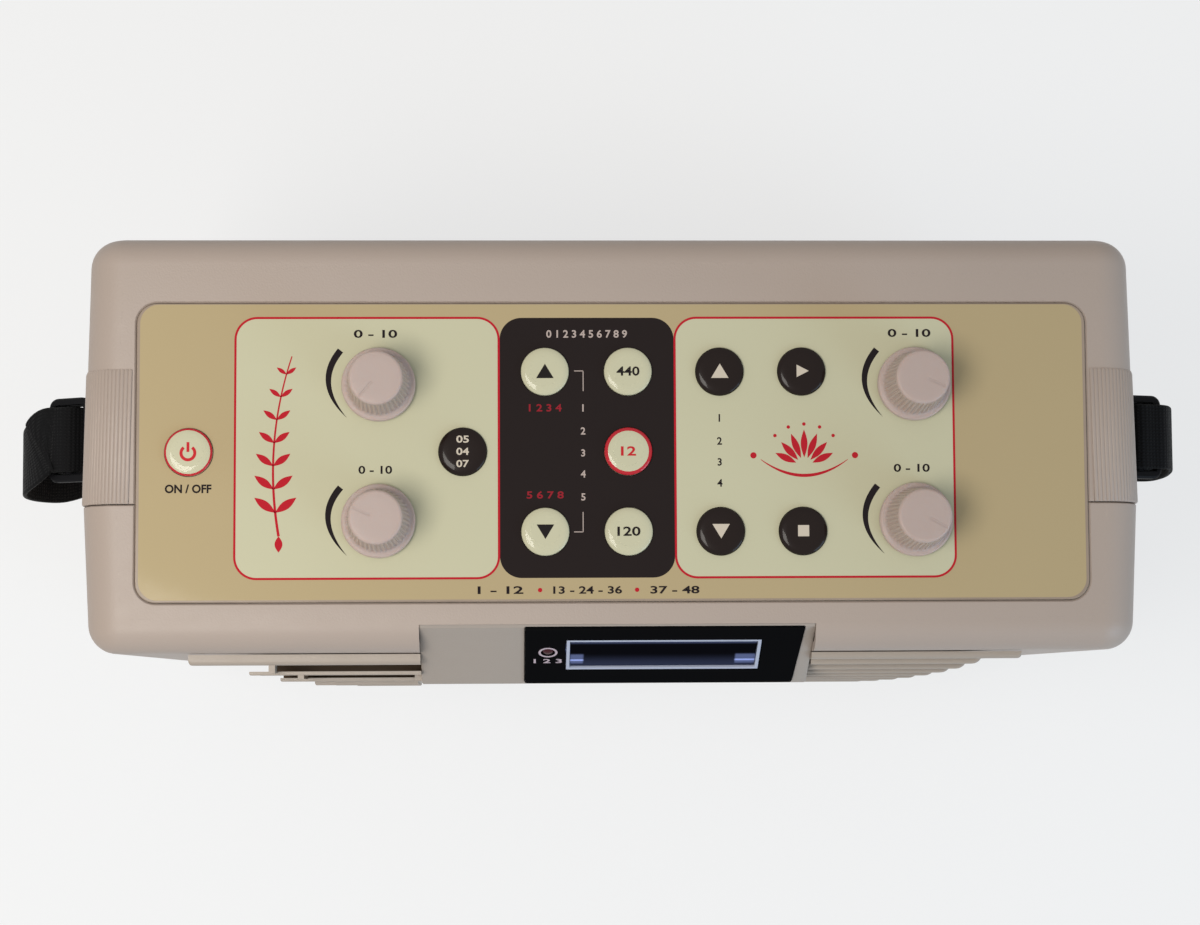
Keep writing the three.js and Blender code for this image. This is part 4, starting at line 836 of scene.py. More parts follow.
def draped(solids, middle):
    """Flat marks laid on a dome: their long edges are split until they can follow it, and
    then each point is raised to the dome's height at its distance from the middle."""
    longest, ink_over, ink_under = 0.7, 0.035, 0.05
    mesh = tidied(*merged(*solids))
    form = bmesh.new()
    form.from_mesh(mesh)
    for _ in range(4):
        bmesh.ops.triangulate(form, faces=form.faces)
        long = [e for e in form.edges if e.calc_length() > longest
                and abs(e.verts[0].co.z - e.verts[1].co.z) < 0.1]
        if not long:
            break
        bmesh.ops.subdivide_edges(form, edges=long, cuts=1)
    bmesh.ops.triangulate(form, faces=form.faces)
    form.to_mesh(mesh)
    form.free()
    points, faces = solid_of(mesh)
    high = dome(np.hypot(points[:, 0], points[:, 1]))
    points[:, 2] = panel_top + high + np.where(points[:, 2] > 0, ink_over, -ink_under)
    points[:, :2] += middle
    return points, faces


def ring_paint(place, ring):
    """Paints the cap red outside a radius, down to the panel."""
    def outside(centres):
        """1 for a face farther out than the ring's inner edge and above the panel."""
        far = np.hypot(centres[:, 0] - place[0], centres[:, 1] - place[1])
        return ((far > ring) & (centres[:, 2] > panel_top)).astype(int)

    return [red_ring], outside


pale_keys = {"power_key", "style_up_key", "style_down_key", "pitch_key", "memory_key",
             "tempo_key"}
ringed_keys = {"power_key": 6.25, "memory_key": 5.85}
for name, place in key_places.items():
    ring = ringed_keys.get(name)
    cap, slot, ink = ((cream_cap, "pale_key", mark_dark) if name in pale_keys else
                      (dark_cap, "dark_key", mark_pale))
    profile = [(radius, height + panel_top) for radius, height in key_profile(ring)]
    piece(name, turned(profile, "z", place), cap, body=name, stands_for=name, slot=slot,
          smooth=50, paint=ring_paint(place, ring) if ring else None)
    piece(name + "_mark", draped(key_marks[name], place), mark_red if ring else ink, body=name,
          slot=slot, smooth=50)

# Knobs: skirted caps moulded in a pinkish beige that lets a little light through, pushed on
# to the shafts. The skirt is smooth, the cone above it fluted, and the crown has a pointer.
knob_material = moulded("knob_beige", srgb(176, 158, 150), rough=0.42, drift=0.03, grain=0.1,
                        grain_size=0.0004, through=0.35, gloss=0.25)


def knob_solid():
    """Radius over angle and height: a smooth flange, a cone whose radius swings with the
    flutes, fading out at both ends, and a crown rounded into its face."""
    sides, flutes, flute_depth = 480, 40, 0.28
    cone_foot, cone_run, cone_low, cone_rise = 8.95, 1.2, 3.4, 14.0
    crown, crown_round, crown_level, knob_top = 6.7, 0.94, 18.26, 19.2
    bore_radius, bore_depth, pointer_floor = 3.3, 11.1, 19.02
    angle = np.arange(sides) / sides * 2 * np.pi
    groove = np.clip(np.cos(flutes * angle), -0.7, 0.5) / 1.2
    turn = np.linspace(0, np.pi / 2, 6)
    rows = [(9.4, 0.6, 0), (10.1, 0.6, 0), (10.55, 0.95, 0), (10.55, 2.2, 0)]
    rows += [(9.75 + 0.8 * np.cos(a), 2.2 + 0.7 * np.sin(a), 0) for a in turn[1:]]
    rows += [(9.4, 3.0, 0), (9.12, 3.2, 0.2)]
    rows += [(cone_foot - cone_run * t, cone_low + cone_rise * t, 1)
             for t in np.linspace(0.03, 0.97, 8)]
    rows += [(7.72, 17.6, 0.5), (7.66, 18.1, 0.0)]
    rows += [(crown + crown_round * np.cos(a), crown_level + crown_round * np.sin(a), 0)
             for a in turn]
    rows += [(radius, knob_top, 0) for radius in (4.8, 2.5, 0.3)]
    rings = []
    for radius, height, share in rows:
        swung = radius + share * flute_depth * (groove - 0.5)
        rings.append(np.column_stack([swung * np.cos(angle), swung * np.sin(angle),
                                      np.full(sides, height)]))
    bore = rod("z", bore_radius, (0, 0), (-overrun, bore_depth), 32)
    pointer = strip([(0, 1.6), (0, 7.2)], [0.9, 0.7])
    pointer_groove = skin(along("z", pointer, (pointer_floor, knob_top + 1.8)))
    return carved(skin(rings), cut=[bore, pointer_groove])


knob_points, knob_faces = knob_solid()
for name, (share, row, clock) in knobs.items():
    turn = -np.radians(clock)
    x, y, z = knob_points.T
    points = np.column_stack([x * np.cos(turn) - y * np.sin(turn),
                              x * np.sin(turn) + y * np.cos(turn), z])
    points += (share * panel_width, row, panel_top)
    piece(name + "_knob", (points, knob_faces), knob_material, body=name + "_knob",
          stands_for=name + "_knob", slot="knob", smooth=40)

# Shafts, potentiometers and the key board hang under the panel: milled aluminium, pressed
# zinc-plated cans, and a green laminate with brushed copper runs under its lacquer.
def metal(name, colour, rough):
    """Brushed or plated metal: roughness and bump drawn out along one axis."""
    material, nodes, links, shader = plain_material(name)
    place = nodes.new("ShaderNodeTexCoord")
    stretch = set_inputs(nodes.new("ShaderNodeMapping"), Scale=(900, 900, 60))
    noise = set_inputs(nodes.new("ShaderNodeTexNoise"), Scale=1.0)
    links.new(place.outputs["Object"], stretch.inputs["Vector"])
    links.new(stretch.outputs["Vector"], noise.inputs["Vector"])
    roughened(nodes, links, shader, noise.outputs["Fac"], rough - 0.1, rough + 0.12)
    bumped(nodes, links, shader, noise.outputs["Fac"], 0.1, 0.0001)
    set_inputs(shader, Base_Color=colour, Metallic=1.0)
    return material


def laminate(name):
    """Circuit board: green lacquer, lighter where a grid of copper runs lies under it."""
    material, nodes, links, shader = plain_material(name)
    place = nodes.new("ShaderNodeTexCoord")
    runs = set_inputs(nodes.new("ShaderNodeTexBrick"), Scale=90, Mortar_Size=0.03,
                      Color1=srgb(34, 84, 52), Color2=srgb(38, 92, 57), Mortar=srgb(74, 128, 78))
    links.new(place.outputs["Object"], runs.inputs["Vector"])
    links.new(runs.outputs["Color"], shader.inputs["Base Color"])
    set_inputs(shader, Roughness=0.35)
    return material


def dress(name, material):
    """A CAD node that stays gets its finish in its own material slots."""
    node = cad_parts[name]
    for place in node.material_slots:
        place.material = material


aluminium = metal("shaft_aluminium", srgb(198, 199, 201), 0.35)
zinc = metal("can_zinc", srgb(168, 168, 166), 0.4)
board_green = laminate("board_green")
for name in knobs:
    dress(name + "_shaft", aluminium)
    dress(name + "_pot", zinc)
dress("key_board", board_green)

# Display bezel: a beige moulding let into the front's upper edge. Its face slopes down to a
# belly, and a keel below it fades into the front wall. Lens and lamp look out of the slope.
slope_top = np.array((-35.4, 209.2))
slope_run, slope_drop = 15.8, 29.0
slope_angle = np.arctan2(slope_drop, slope_run)
bezel_wall = 2.2


def filleted(points, radii, steps=8):
    """A closed outline with each corner rounded by its own radius: an arc that touches both
    sides, found from the angle between them."""
    points = np.asarray(points, float)
    loop = []
    for before, at, after, radius in zip(np.roll(points, 1, 0), points, np.roll(points, -1, 0),
                                         radii):
        a, b = (before - at), (after - at)
        a, b = a / np.linalg.norm(a), b / np.linalg.norm(b)
        if radius <= 0:
            loop.append(at[None])
            continue
        half = np.arccos(np.clip(a @ b, -1, 1)) / 2
        middle = at + (a + b) / np.linalg.norm(a + b) * radius / np.sin(half)
        first, last = at + a * radius / np.tan(half), at + b * radius / np.tan(half)
        start = np.arctan2(*(first - middle)[::-1])
        sweep = np.arctan2(*(last - middle)[::-1]) - start
        sweep = (sweep + np.pi) % (2 * np.pi) - np.pi
        turn = start + sweep * np.linspace(0, 1, steps + 1)
        loop.append(middle + radius * np.column_stack([np.cos(turn), np.sin(turn)]))
    return np.concatenate(loop)


def on_slope(solid):
    """Puts a solid drawn level, y up the slope and z out of it, onto the bezel's face."""
    points = np.asarray(solid[0], float)
    y = points[:, 1] * np.cos(slope_angle) - points[:, 2] * np.sin(slope_angle)
    z = points[:, 1] * np.sin(slope_angle) + points[:, 2] * np.cos(slope_angle)
    return np.column_stack([points[:, 0], y + slope_top[0], z + slope_top[1]]), solid[1]


bezel_left, bezel_right = bezel_middle - bezel_half, bezel_middle + bezel_half
bezel_back, wall_line, notch_line, keel_foot = -34.55, -42.5, 178.0, 100.0
belly, belly_radius = (-49.7, 150.0), 60
section = filleted(
    [(bezel_back, housing_top), slope_top, slope_top - (slope_run, slope_drop), belly,
     (wall_line, keel_foot), (wall_line, notch_line), (bezel_back, notch_line)],
    [0, 0.4, 2.2, belly_radius, 0, 0, 0])
to_middle = section.mean(0) - section
past_end, eased_end, eased_face = 0.25, 0.1, 0.35
inset = section + to_middle / np.linalg.norm(to_middle, axis=1, keepdims=True) * eased_face
bezel = skin(along("x", [inset, section, section, inset],
                   [bezel_left - past_end, bezel_left + eased_end,
                    bezel_right - eased_end, bezel_right + past_end]))
dy, dz = np.sin(slope_angle) * bezel_wall, np.cos(slope_angle) * bezel_wall
hollow_foot, far_back = 108.8, 20.0
hollow = np.array([(slope_top[0] + dy, slope_top[1] - dz),
                   (slope_top[0] - slope_run + dy, slope_top[1] - slope_drop - dz + bezel_wall),
                   (belly[0] + bezel_wall, belly[1]), (wall_line + 0.5, hollow_foot),
                   (far_back, hollow_foot), (far_back, slope_top[1] - dz)])
hollow = skin(along("x", hollow, (bezel_left + bezel_wall, bezel_right - bezel_wall)))
lens_left, lens_right = bezel_left + 29.9, bezel_right - 2.9
lens_length = np.hypot(slope_run, slope_drop) - 1.4
lens_face, lens_seat, lens_taper = 0.8, 1.0, 1.3
window = ((lens_left + 11.9, lens_right - 11.8), (8.1 - lens_length, -6.4))
window_middle = tuple((low + high) / 2 for low, high in window)
window_size = np.array([high - low for low, high in window])
lamp_at, lamp_hole = (lens_left + 6.6, -13.0), 2.0


def lens_outline(margin, radius=0.5):
    """The lens's outline on the slope, grown by a margin: its right side leans inwards."""
    return filleted([(lens_left - margin, margin), (lens_left - margin, -lens_length - margin),
                     (lens_right - lens_taper + margin, -lens_length - margin),
                     (lens_right + margin, margin)], [radius] * 4, 4)


through = (-20, 20)
seat = on_slope(skin(along("z", lens_outline(clearance), (-lens_seat, 20))))
window_hole = on_slope(block(*((low - clearance, high + clearance) for low, high in window),
                             through))
bezel = carved(bezel, cut=[hollow, seat, window_hole,
                           on_slope(rod("z", lamp_hole, lamp_at, through, 32))])
# Painted shade: the bezel's beige is a little darker than the housing's, for its sloping face.
bezel_beige_painted_shade = moulded("bezel_beige_painted_shade", srgb(156, 145, 135), rough=0.42, grain=0.3,
                      grain_size=0.00055)
piece("display_bezel", bezel, bezel_beige_painted_shade, stands_for="display_bezel", slot="casing")

# Lens: a flat black acrylic plate glued into the bezel. Its window over the display is clear,
# and here it is open. The display's pale frame lies in it, and the lamp in a hole beside it.
black_gloss = moulded("lens_black", srgb(15, 15, 16), rough=0.12, drift=0.1, grain=0.01,
                      gloss=0.0)
lens_edge = 0.25
lens = skin(along("z", [lens_outline(0), lens_outline(0), lens_outline(-lens_edge)],
                  (clearance - lens_seat, lens_face - lens_edge, lens_face)))
through = (-overrun, overrun)
window_hole = skin(along("z", rounded(*(window_size + 2 * clearance), 0.3, window_middle, 3),
                         through))
lens = carved(lens, cut=[window_hole, rod("z", lamp_hole, lamp_at, through, 32)])
piece("display_lens", on_slope(lens), black_gloss, stands_for="display_lens", slot="lens")

pale_frame = moulded("frame_pale", srgb(168, 174, 192), rough=0.35, grain=0.05, coat=0.1)
frame_top, frame_deep, frame_band = lens_face - 0.2, 3, 1.0
outer = rounded(*window_size, 0.3, window_middle, 3)
inner = rounded(*(window_size - 2 * frame_band), 0.25, window_middle, 3)
piece("display_frame", on_slope(slab([outer, inner], frame_top - frame_deep, frame_top)),
      pale_frame, stands_for="display_frame", slot="display_frame", soften=0.12)

# Display: a dark glass in the frame, on its module behind the lens. A reflection of the room is
# painted into it and made to glow: a thin light at its top, a weak one at its foot, and a bluish
# glow in both lower corners.
glass, nodes, links, shader = plain_material("display_glass")
place = nodes.new("ShaderNodeTexCoord")
apart = nodes.new("ShaderNodeSeparateXYZ")
links.new(place.outputs["Object"], apart.inputs[0])


def ramp_of(source, low, high):
    """A value that runs from 0 at one place to 1 at another along an axis, in metres."""
    one = set_inputs(nodes.new("ShaderNodeMapRange"), From_Min=low, From_Max=high)
    one.interpolation_type = "SMOOTHSTEP"
    links.new(source, one.inputs["Value"])
    return one.outputs["Result"]


def combined(operation, *values):
    """The product or the largest of several values."""
    total = values[0]
    for value in values[1:]:
        one = nodes.new("ShaderNodeMath")
        one.operation = operation
        links.new(total, one.inputs[0])
        if isinstance(value, float):
            one.inputs[1].default_value = value
        else:
            links.new(value, one.inputs[1])
        total = one.outputs[0]
    return total


def level_on_slope(y):
    """The height in metres of a place on the slope."""
    return on_slope((np.array([(0, y, 0)]), []))[0][0][2] / 1000


def up_glass(low, high):
    """A value that runs from 0 at one share of the glass's height to 1 at another."""
    return ramp_of(apart.outputs["Z"], foot + low * tall, foot + high * tall)


glass_in, seen_in = 1.2, 1.7
glass_left, glass_right = ((end + sideways) / 1000
                           for end in (window[0][0] + glass_in, window[0][1] - glass_in))
foot, head = level_on_slope(window[1][0] + seen_in), level_on_slope(window[1][1] - seen_in)
tall = head - foot
# Painted reflection: these ramps paint the room's light into the glass's colour.
left_glow = ramp_of(apart.outputs["X"], glass_left + 0.0042, glass_left + 0.0034)
right_glow = ramp_of(apart.outputs["X"], glass_right - 0.0062, glass_right - 0.0054)
ends = combined("MAXIMUM", left_glow, right_glow)
corners = combined("MULTIPLY", ends, combined("MULTIPLY", up_glass(0.5, 0.4),
                                              up_glass(0.02, 0.1)), 0.26)
bright_line = combined("MULTIPLY", ends, combined("MULTIPLY", up_glass(0.15, 0.18),
                                                  up_glass(0.26, 0.23)), 0.85)
low_light = combined("MULTIPLY", up_glass(0.5, 0.0), 0.06)
top_light = combined("MULTIPLY", up_glass(0.86, 0.98), 0.14)
tone = nodes.new("ShaderNodeValToRGB")
for number, colour in enumerate((srgb(9, 9, 13), srgb(150, 164, 222))):
    tone.color_ramp.elements[number].color = colour
    tone.color_ramp.elements[number].position = number
links.new(combined("MAXIMUM", corners, bright_line, low_light, top_light), tone.inputs["Fac"])
# The painted reflection is also given as the glass's glow, though the glass is no lamp.
links.new(tone.outputs["Color"], shader.inputs["Base Color"])
links.new(tone.outputs["Color"], shader.inputs["Emission Color"])
set_inputs(shader, Emission_Strength=0.25, Roughness=0.12, Specular_IOR_Level=0.0)
module_top, module_deep = frame_top - frame_deep - clearance, 6
glass_form = skin(along("z", rounded(*(window_size - 2 * glass_in), 0.2, window_middle, 3),
                        (module_top - 0.5, lens_face - 0.8)))
back_form = skin(along("z", rounded(*(window_size + 5.4), 0.6, window_middle, 4),
                       (module_top - module_deep, module_top)))
piece("display_module", on_slope(merged(glass_form, back_form)), glass,
      stands_for="display_module", slot="display")

# Tempo lamp: a red lens cap with a round top on a collar, pushed into its hole from behind.
# The ring round it and the figures below it are printed on the lens.
lamp_red = moulded("lamp_red", srgb(62, 22, 28), rough=0.2, grain=0.01, coat=0.15, gloss=0.1)
lamp_radius, collar_radius, collar_top, lamp_shoulder = 1.68, 2.2, -2.5, lens_face - 0.7
profile = [(collar_radius, lens_face - 6), (collar_radius, collar_top),
           (lamp_radius, collar_top), (lamp_radius, lamp_shoulder)]
profile += [(lamp_radius * np.cos(a), lamp_shoulder + 0.9 * np.sin(a))
            for a in np.linspace(0.1, 1.54, 9)]
lamp = turned(profile, "z", lamp_at, 40)
piece("tempo_lamp", on_slope(lamp), lamp_red, stands_for="tempo_lamp", slot="lamp", smooth=50)
lens_ring = on_slope(slab([circle(2.75, lamp_at, 48), circle(2.1, lamp_at, 48)],
                          lens_face - 0.05, lens_face + 0.04))
lens_figures = on_slope(numerals("1 2 3", 2.4, (lamp_at[0], lamp_at[1] - 5.0), lens_face - 0.05,
                                 lens_face + 0.03, 8.2))
piece("lens_print", merged(lens_ring, lens_figures),
      moulded("lens_ink", srgb(176, 158, 166), rough=0.3, grain=0.02), slot="lens")

# Speaker grilles: beige mouldings on the front wall, one each side of the bezel, with a flat
# plate on top. The left one has straight thin blades on a post and two webs, with plates behind
# them painted dark brown as shade. The right one's blades turn back to the wall at their ends.
grille_beige = moulded("grille_beige", srgb(160, 148, 136), rough=0.4, grain=0.25,
                       grain_size=0.00055)
# Painted shade: a dark brown for the faces behind the left blades, where shade falls.
grille_painted_shade = moulded("grille_painted_shade", srgb(88, 72, 57), rough=0.7, grain=0.2, gloss=0.1)
face = -front_depth - clearance
bulge, blade_depth, into_post = 8.2, 2.0, 0.6


def bar(path, depth, tall, level, corner=0.5):
    """A bar of a rounded section carried along a line in the level plane."""
    path = np.asarray(path, float)
    way = np.gradient(path, axis=0)
    way /= np.linalg.norm(way, axis=1, keepdims=True)
    off = np.column_stack([-way[:, 1], way[:, 0]])
    shape = rounded(depth, tall, min(corner, depth / 2 - 0.05), steps=3)
    return skin([np.column_stack([at + shape[:, :1] * side_way,
                                  level + shape[:, 1]]) for at, side_way in zip(path, off)])


def blade(side, reach, depth, end, level, tall=blade_height):
    """A blade: out along its front, round a corner, and back to the wall."""
    inner = bezel_half + clearance + into_post
    front = face - reach * bulge + depth / 2
    leg = end - depth / 2
    largest_turn = 2.4
    turn_radius = min(largest_turn, (face - front) * 0.8)
    turn = np.linspace(0, np.pi / 2, 7)
    path = [(inner, front), ((inner + leg) / 2, front), (leg - turn_radius, front)]
    path += [(leg - turn_radius + turn_radius * np.sin(a),
              front + turn_radius * (1 - np.cos(a))) for a in turn[1:]]
    path += [(leg, (front + turn_radius + face) / 2 + 0.01), (leg, face - 0.05)]
    path = np.array(path)
    path[:, 0] = bezel_middle + side * path[:, 0]
    return bar(path, depth, tall, level)


def ledge(side, reach, end, level, back, corner, tall=blade_height, edge=0.5, start=0.0):
    """A straight blade or the top plate: a plate with one round corner and eased edges."""
    near, front = bezel_half + clearance + start, face - reach * bulge
    outline = filleted([(near, front), (end, front), (end, face - back), (near, face - back)],
                       [0, corner, 0, 0])
    outline[:, 0] = bezel_middle + side * outline[:, 0]
    turn = np.linspace(0, np.pi / 2, 5)
    rings, levels = [], []
    for a in turn:
        ring = outline.copy()
        ring[:, 1] = np.minimum(ring[:, 1] + edge * (1 - np.sin(a)), face - back)
        rings.append(ring)
        levels.append(tall / 2 - edge * (1 - np.cos(a)))
    levels = [level - z for z in levels] + [level + z for z in levels[::-1]]
    return skin(along("z", rings + rings[::-1], levels))


def inside(centres):
    """1 for what lies behind the blades, away from the wall and the top plate: the faces that get
    painted shade.
    """
    behind = (centres[:, 1] > face - 6.6) & (centres[:, 1] < face - 2.2)
    return (behind & (centres[:, 2] < grille_top - 2 * blade_pitch)).astype(int)


def post(side, line, levels):
    """The upright beside the bezel: a plate whose front edge follows a line of places."""
    post_width = 2.1
    inner = bezel_half + clearance
    ends = sorted((bezel_middle + side * inner, bezel_middle + side * (inner + post_width)))
    outline = line + [(face, levels[-1] - blade_height)]
    return skin(along("x", np.array(outline), ends))


# How far the top plate and each blade stand out from the wall, as shares of the bulge, and by
# how much some of the left blades fall short of the grille's curve, or pass it if negative.
left_reach = [0.38, 0.725, 0.725, 0.942, 0.935, 1.075, 1.06, 1.08, 1.1, 1.08, 1.0, 0.82, 0.55]
right_reach = [0.25, 0.43, 0.6, 0.73, 0.83, 0.91, 0.97, 1.01, 1.03, 1.02, 0.93, 0.84, 0.75]
left_trims = {1: 1.2, 3: 2.4, 4: -1.6, 5: 4.1, 7: 0.9, 8: 2.7}
levels = [grille_top - number * blade_pitch for number in range(blades + 1)]


def grille_base(side, plate_share, top_reach):
    """A grille's frame on the wall and its top plate."""
    frame_thick = 2
    flat, faces = slab([wing(side, 0, 1), wing(side, wing_frame, opening_share)[::-1]],
                       face - frame_thick, face)
    end = bezel_half + clearance + plate_share * flank_width
    return [(flat[:, (0, 2, 1)], faces),
            ledge(side, top_reach, end, grille_top - blade_height / 2, 0.0, 1.1, edge=1.2)]


def left_grille():
    """Straight blades, thicker at the top, on a post and two webs, and plates behind them."""
    inner, thin, plate_half, low_start = bezel_half + clearance, 1.4, 1, 1.9
    fronts = [face - reach * bulge for reach in left_reach]
    line = [(face, levels[6]), (fronts[1] + 0.9, levels[6]), (fronts[1] + 0.9, levels[2]),
            (fronts[3] + 0.4, levels[2])]
    line += [(front + 0.8, level - 1) for front, level in zip(fronts[4:], levels[4:])]
    yield post(-1, line, levels)
    first_end = inner + wing_reach(1 / blades)
    for number, reach in list(enumerate(left_reach))[1:]:
        level = levels[number] - blade_height / 2
        end = inner + wing_reach(number / blades) - left_trims.get(number, 0)
        broad = 1.07 if number < 4 else 0.95 if number == 4 else thin
        # Plates deep behind the slots, there to carry the painted shade.
        if 2 < number < 11:
            outer = first_end - 7.0 if number == 3 else end - 0.6
            wide = sorted((bezel_middle - inner - 0.05, bezel_middle - outer))
            reached = 0.7 * bulge if number == 3 else reach * bulge - broad + 0.1
            yield block(wide, (face - reached, face - 0.3),
                        (level - plate_half, level + plate_half))
        yield ledge(-1, reach, end, level, reach * bulge - broad, broad / 2, edge=0.3,
                    start=0 if number < 5 else low_start)
    web_thick = 1.8
    for back_by, near, far, low, high in ((7.4, 0.3, 0.66, levels[1] - 1, levels[0] - 1),
                                          (15.2, 0.66, 0.85, levels[3] - 1, levels[1] - 1)):
        web_end = bezel_middle - first_end + back_by
        yield block((web_end, web_end + web_thick), (face - far * bulge, face - near * bulge),
                    (low, high))


def right_grille():
    """Blades that turn back to the wall, on a post that follows their fronts."""
    behind = 0.6
    fronts = [face - reach * bulge for reach in right_reach]
    line = [(face, levels[1] - 1), (fronts[0] + behind, levels[1] - 1)]
    line += [(front + behind, level - 1) for front, level in zip(fronts[1:-1], levels[2:])]
    yield post(1, line, levels)
    for number, reach in list(enumerate(right_reach))[1:]:
        yield blade(1, reach, blade_depth, bezel_half + clearance + wing_reach(number / blades),
                    levels[number] - blade_height / 2)


# The left grille's faces behind its blades are painted dark brown as shade.
piece("left_grille", merged(*grille_base(-1, 0.693, left_reach[0]), *left_grille()),
      grille_beige, stands_for="left_grille", slot="casing", paint=([grille_painted_shade], inside))
piece("right_grille", merged(*grille_base(1, 0.637, right_reach[0]), *right_grille()),
      grille_beige, stands_for="right_grille", slot="casing")

# Speakers: a pressed steel basket with its magnet, and a paper cone with a rolled edge and a
# dust cap. They are glued behind the openings, and only glints of them show past the blades.
basket_steel = metal("basket_steel", srgb(58, 54, 50), 0.45)
paper, nodes, links, shader = plain_material("cone_paper")
place = nodes.new("ShaderNodeTexCoord")
fibre = set_inputs(nodes.new("ShaderNodeTexNoise"), Scale=900, Detail=6)
links.new(place.outputs["Object"], fibre.inputs["Vector"])
two_tone(nodes, links, fibre.outputs["Fac"], srgb(24, 23, 22), srgb(44, 42, 40),
         shader.inputs["Base Color"])
bumped(nodes, links, shader, fibre.outputs["Fac"], 0.5, 0.0002)
set_inputs(shader, Roughness=0.9)

speaker_column, speaker_level, base = 88.0, 150.0, -39.3
# Basket and cone as radius and height over the base, along the speaker's axis.
for word, side in both_sides:
    at = (side * speaker_column, speaker_level)
    basket = [(0.5, 34.0), (22.0, 34.0), (22.5, 33.5), (22.5, 20.0), (17.5, 18.2), (35.5, 2.4),
              (38.2, 2.2), (38.5, 1.9), (38.5, 0.3), (38.2, 0.0), (33.8, 0.0), (33.5, 2.2),
              (13.6, 16.0), (9.5, 18.0), (0.5, 18.0)]
    basket = [(radius, base + y) for radius, y in basket]
    piece(word + "_speaker_frame", turned(basket, "y", at, 72), basket_steel,
          stands_for=word + "_speaker_frame", slot="speaker_frame")
    roll = np.linspace(0, np.pi, 9)
    cone = [(0.3, 15.4), (9.5, 15.4), (28.0, 4.6), (32.4, 1.95)]
    cone += [(30.2 + 2.1 * np.cos(a), 1.9 - 1.05 * np.sin(a)) for a in roll]
    cone += [(27.6, 3.2), (10.6, 12.9), (9.4, 12.6)]
    cone += [(9.2 * np.cos(a), 12.6 - 4.0 * np.sin(a)) for a in np.linspace(0.15, 1.52, 8)]
    cone = [(radius, base + y) for radius, y in cone]
    piece(word + "_speaker_cone", turned(cone, "y", at, 72), paper,
          body=word + "_speaker_cone", stands_for=word + "_speaker_cone", slot="cone",
          smooth=50)

# Side bands: two ribbed beige covers bent over the rear shell's top edges, where the hand
# takes hold, let into the shell so that only their ribs stand proud.
band_beige = moulded("band_beige", srgb(162, 147, 136), rough=0.42, grain=0.25,
                     grain_size=0.00055)


def band_section(inward=0.0):
    """The band's section: inside a plain line, outside one with ribs whose height follows the
    root of a sine, so that they are round-topped with narrow valleys."""
    rib_foot, rib_rise, ribs = 0.27, 0.23, 41
    flat, arc = housing_width / 2 - edge_radius - band_in + rib_foot, edge_radius * np.pi / 2
    length = flat + arc + housing_top - edge_radius - band_bottom
    s = np.linspace(0, length, ribs * 8 + 1)
    lift = rib_foot + rib_rise * np.sqrt(np.abs(np.sin(np.pi * s / (length / ribs)))) - inward
    angle = np.clip((s - flat) / edge_radius, 0, np.pi / 2)
    x = (housing_width / 2 - edge_radius + (edge_radius + lift) * np.sin(angle)
         - np.maximum(flat - s, 0))
    z = (housing_top - edge_radius + (edge_radius + lift) * np.cos(angle)
         - np.maximum(s - flat - arc, 0))
    return np.concatenate([np.column_stack([x, z]), band_line(-band_sunk)[::-1]])


eased_rib = 0.3
for word, side in both_sides:
    full, low = band_section() * (side, 1), band_section(eased_rib) * (side, 1)
    rings = along("y", [low, full, full, low],
                  [half_gap, half_gap + 0.4, band_depth - 0.6, band_depth + 0.27])
    rings[..., 0] *= 1 - 2 * rear_narrowing * rings[..., 1] / rear_depth / housing_width
    piece(word + "_side_band", skin(rings), band_beige, stands_for=word + "_side_band",
          slot="casing", smooth=60)

# Strap fittings: a black nylon box let into each side with a bar across it, and a slide
# buckle on the webbing just outside it.
nylon = moulded("fitting_nylon", srgb(17, 17, 19), rough=0.45, drift=0.1, grain=0.2, gloss=0.08)
bar_column, bar_radius, bar_half, well_deep = anchor_face - 3.4, 1.8, 17.5, 8


def flank(side, near, far):
    """A span across one side of the unit, in rising order."""
    return sorted((side * near, side * far))


for word, side in both_sides:
    box = block(flank(side, anchor_face - anchor_deep, anchor_face),
                (anchor_row - anchor_half_width, anchor_row + anchor_half_width),
                (anchor_level - anchor_half_height, anchor_level + anchor_half_height))
    rim = skin(along("x", rounded(42, 36, 3, (anchor_row, anchor_level), 6),
                     flank(side, housing_width / 2 + clearance, anchor_face)))
    well = skin(along("x", rounded(33, 27, 1.5, (anchor_row, anchor_level), 5),
                      flank(side, anchor_face - well_deep, anchor_face + overrun)))
    cross = rod("y", bar_radius, (side * bar_column, anchor_level),
                (anchor_row - bar_half, anchor_row + bar_half), 28)
    piece(word + "_strap_anchor", merged(carved(box, add=[rim], cut=[well]), cross), nylon,
          stands_for=word + "_strap_anchor", slot="black_plastic", soften=0.35)


def tilted(solid, side, tilt):
    """Turns a solid about the anchor's bar, sinking outwards by the tilt, and sets it there."""
    points = np.asarray(solid[0], float)
    out_way = points[:, 0] * np.cos(tilt) + points[:, 2] * np.sin(tilt)
    up_way = points[:, 2] * np.cos(tilt) - points[:, 0] * np.sin(tilt)
    return np.column_stack([side * (bar_column + out_way), points[:, 1] + anchor_row,
                            up_way + anchor_level]), solid[1]


left_tilt, right_tilt = 0.5, 0.3
buckle_low, buckle_high = 2.2, 4.8
outline = rounded(15, 26, 3, (14.5, 0), 6)
slots = [rounded(4.2, 20.5, 0.8, (middle, 0), 3) for middle in (11.3, 17.7)]
plate = slab([outline, *slots], buckle_low, buckle_high)
for (word, side), tilt in zip(both_sides, (left_tilt, right_tilt)):
    piece(word + "_buckle", tilted(plate, side, tilt), nylon, stands_for=word + "_buckle",
          slot="black_plastic", soften=0.7)

# Strap: one length of black woven nylon webbing. It goes round each anchor's bar, up through
# the buckle and over its middle bar, and then hangs round behind the unit.
webbing_width, webbing_thick, webbing_gap, slack = 20, 1.4, 0.3, 0.3
strap_run, strap_sag = 81.5, 91.5
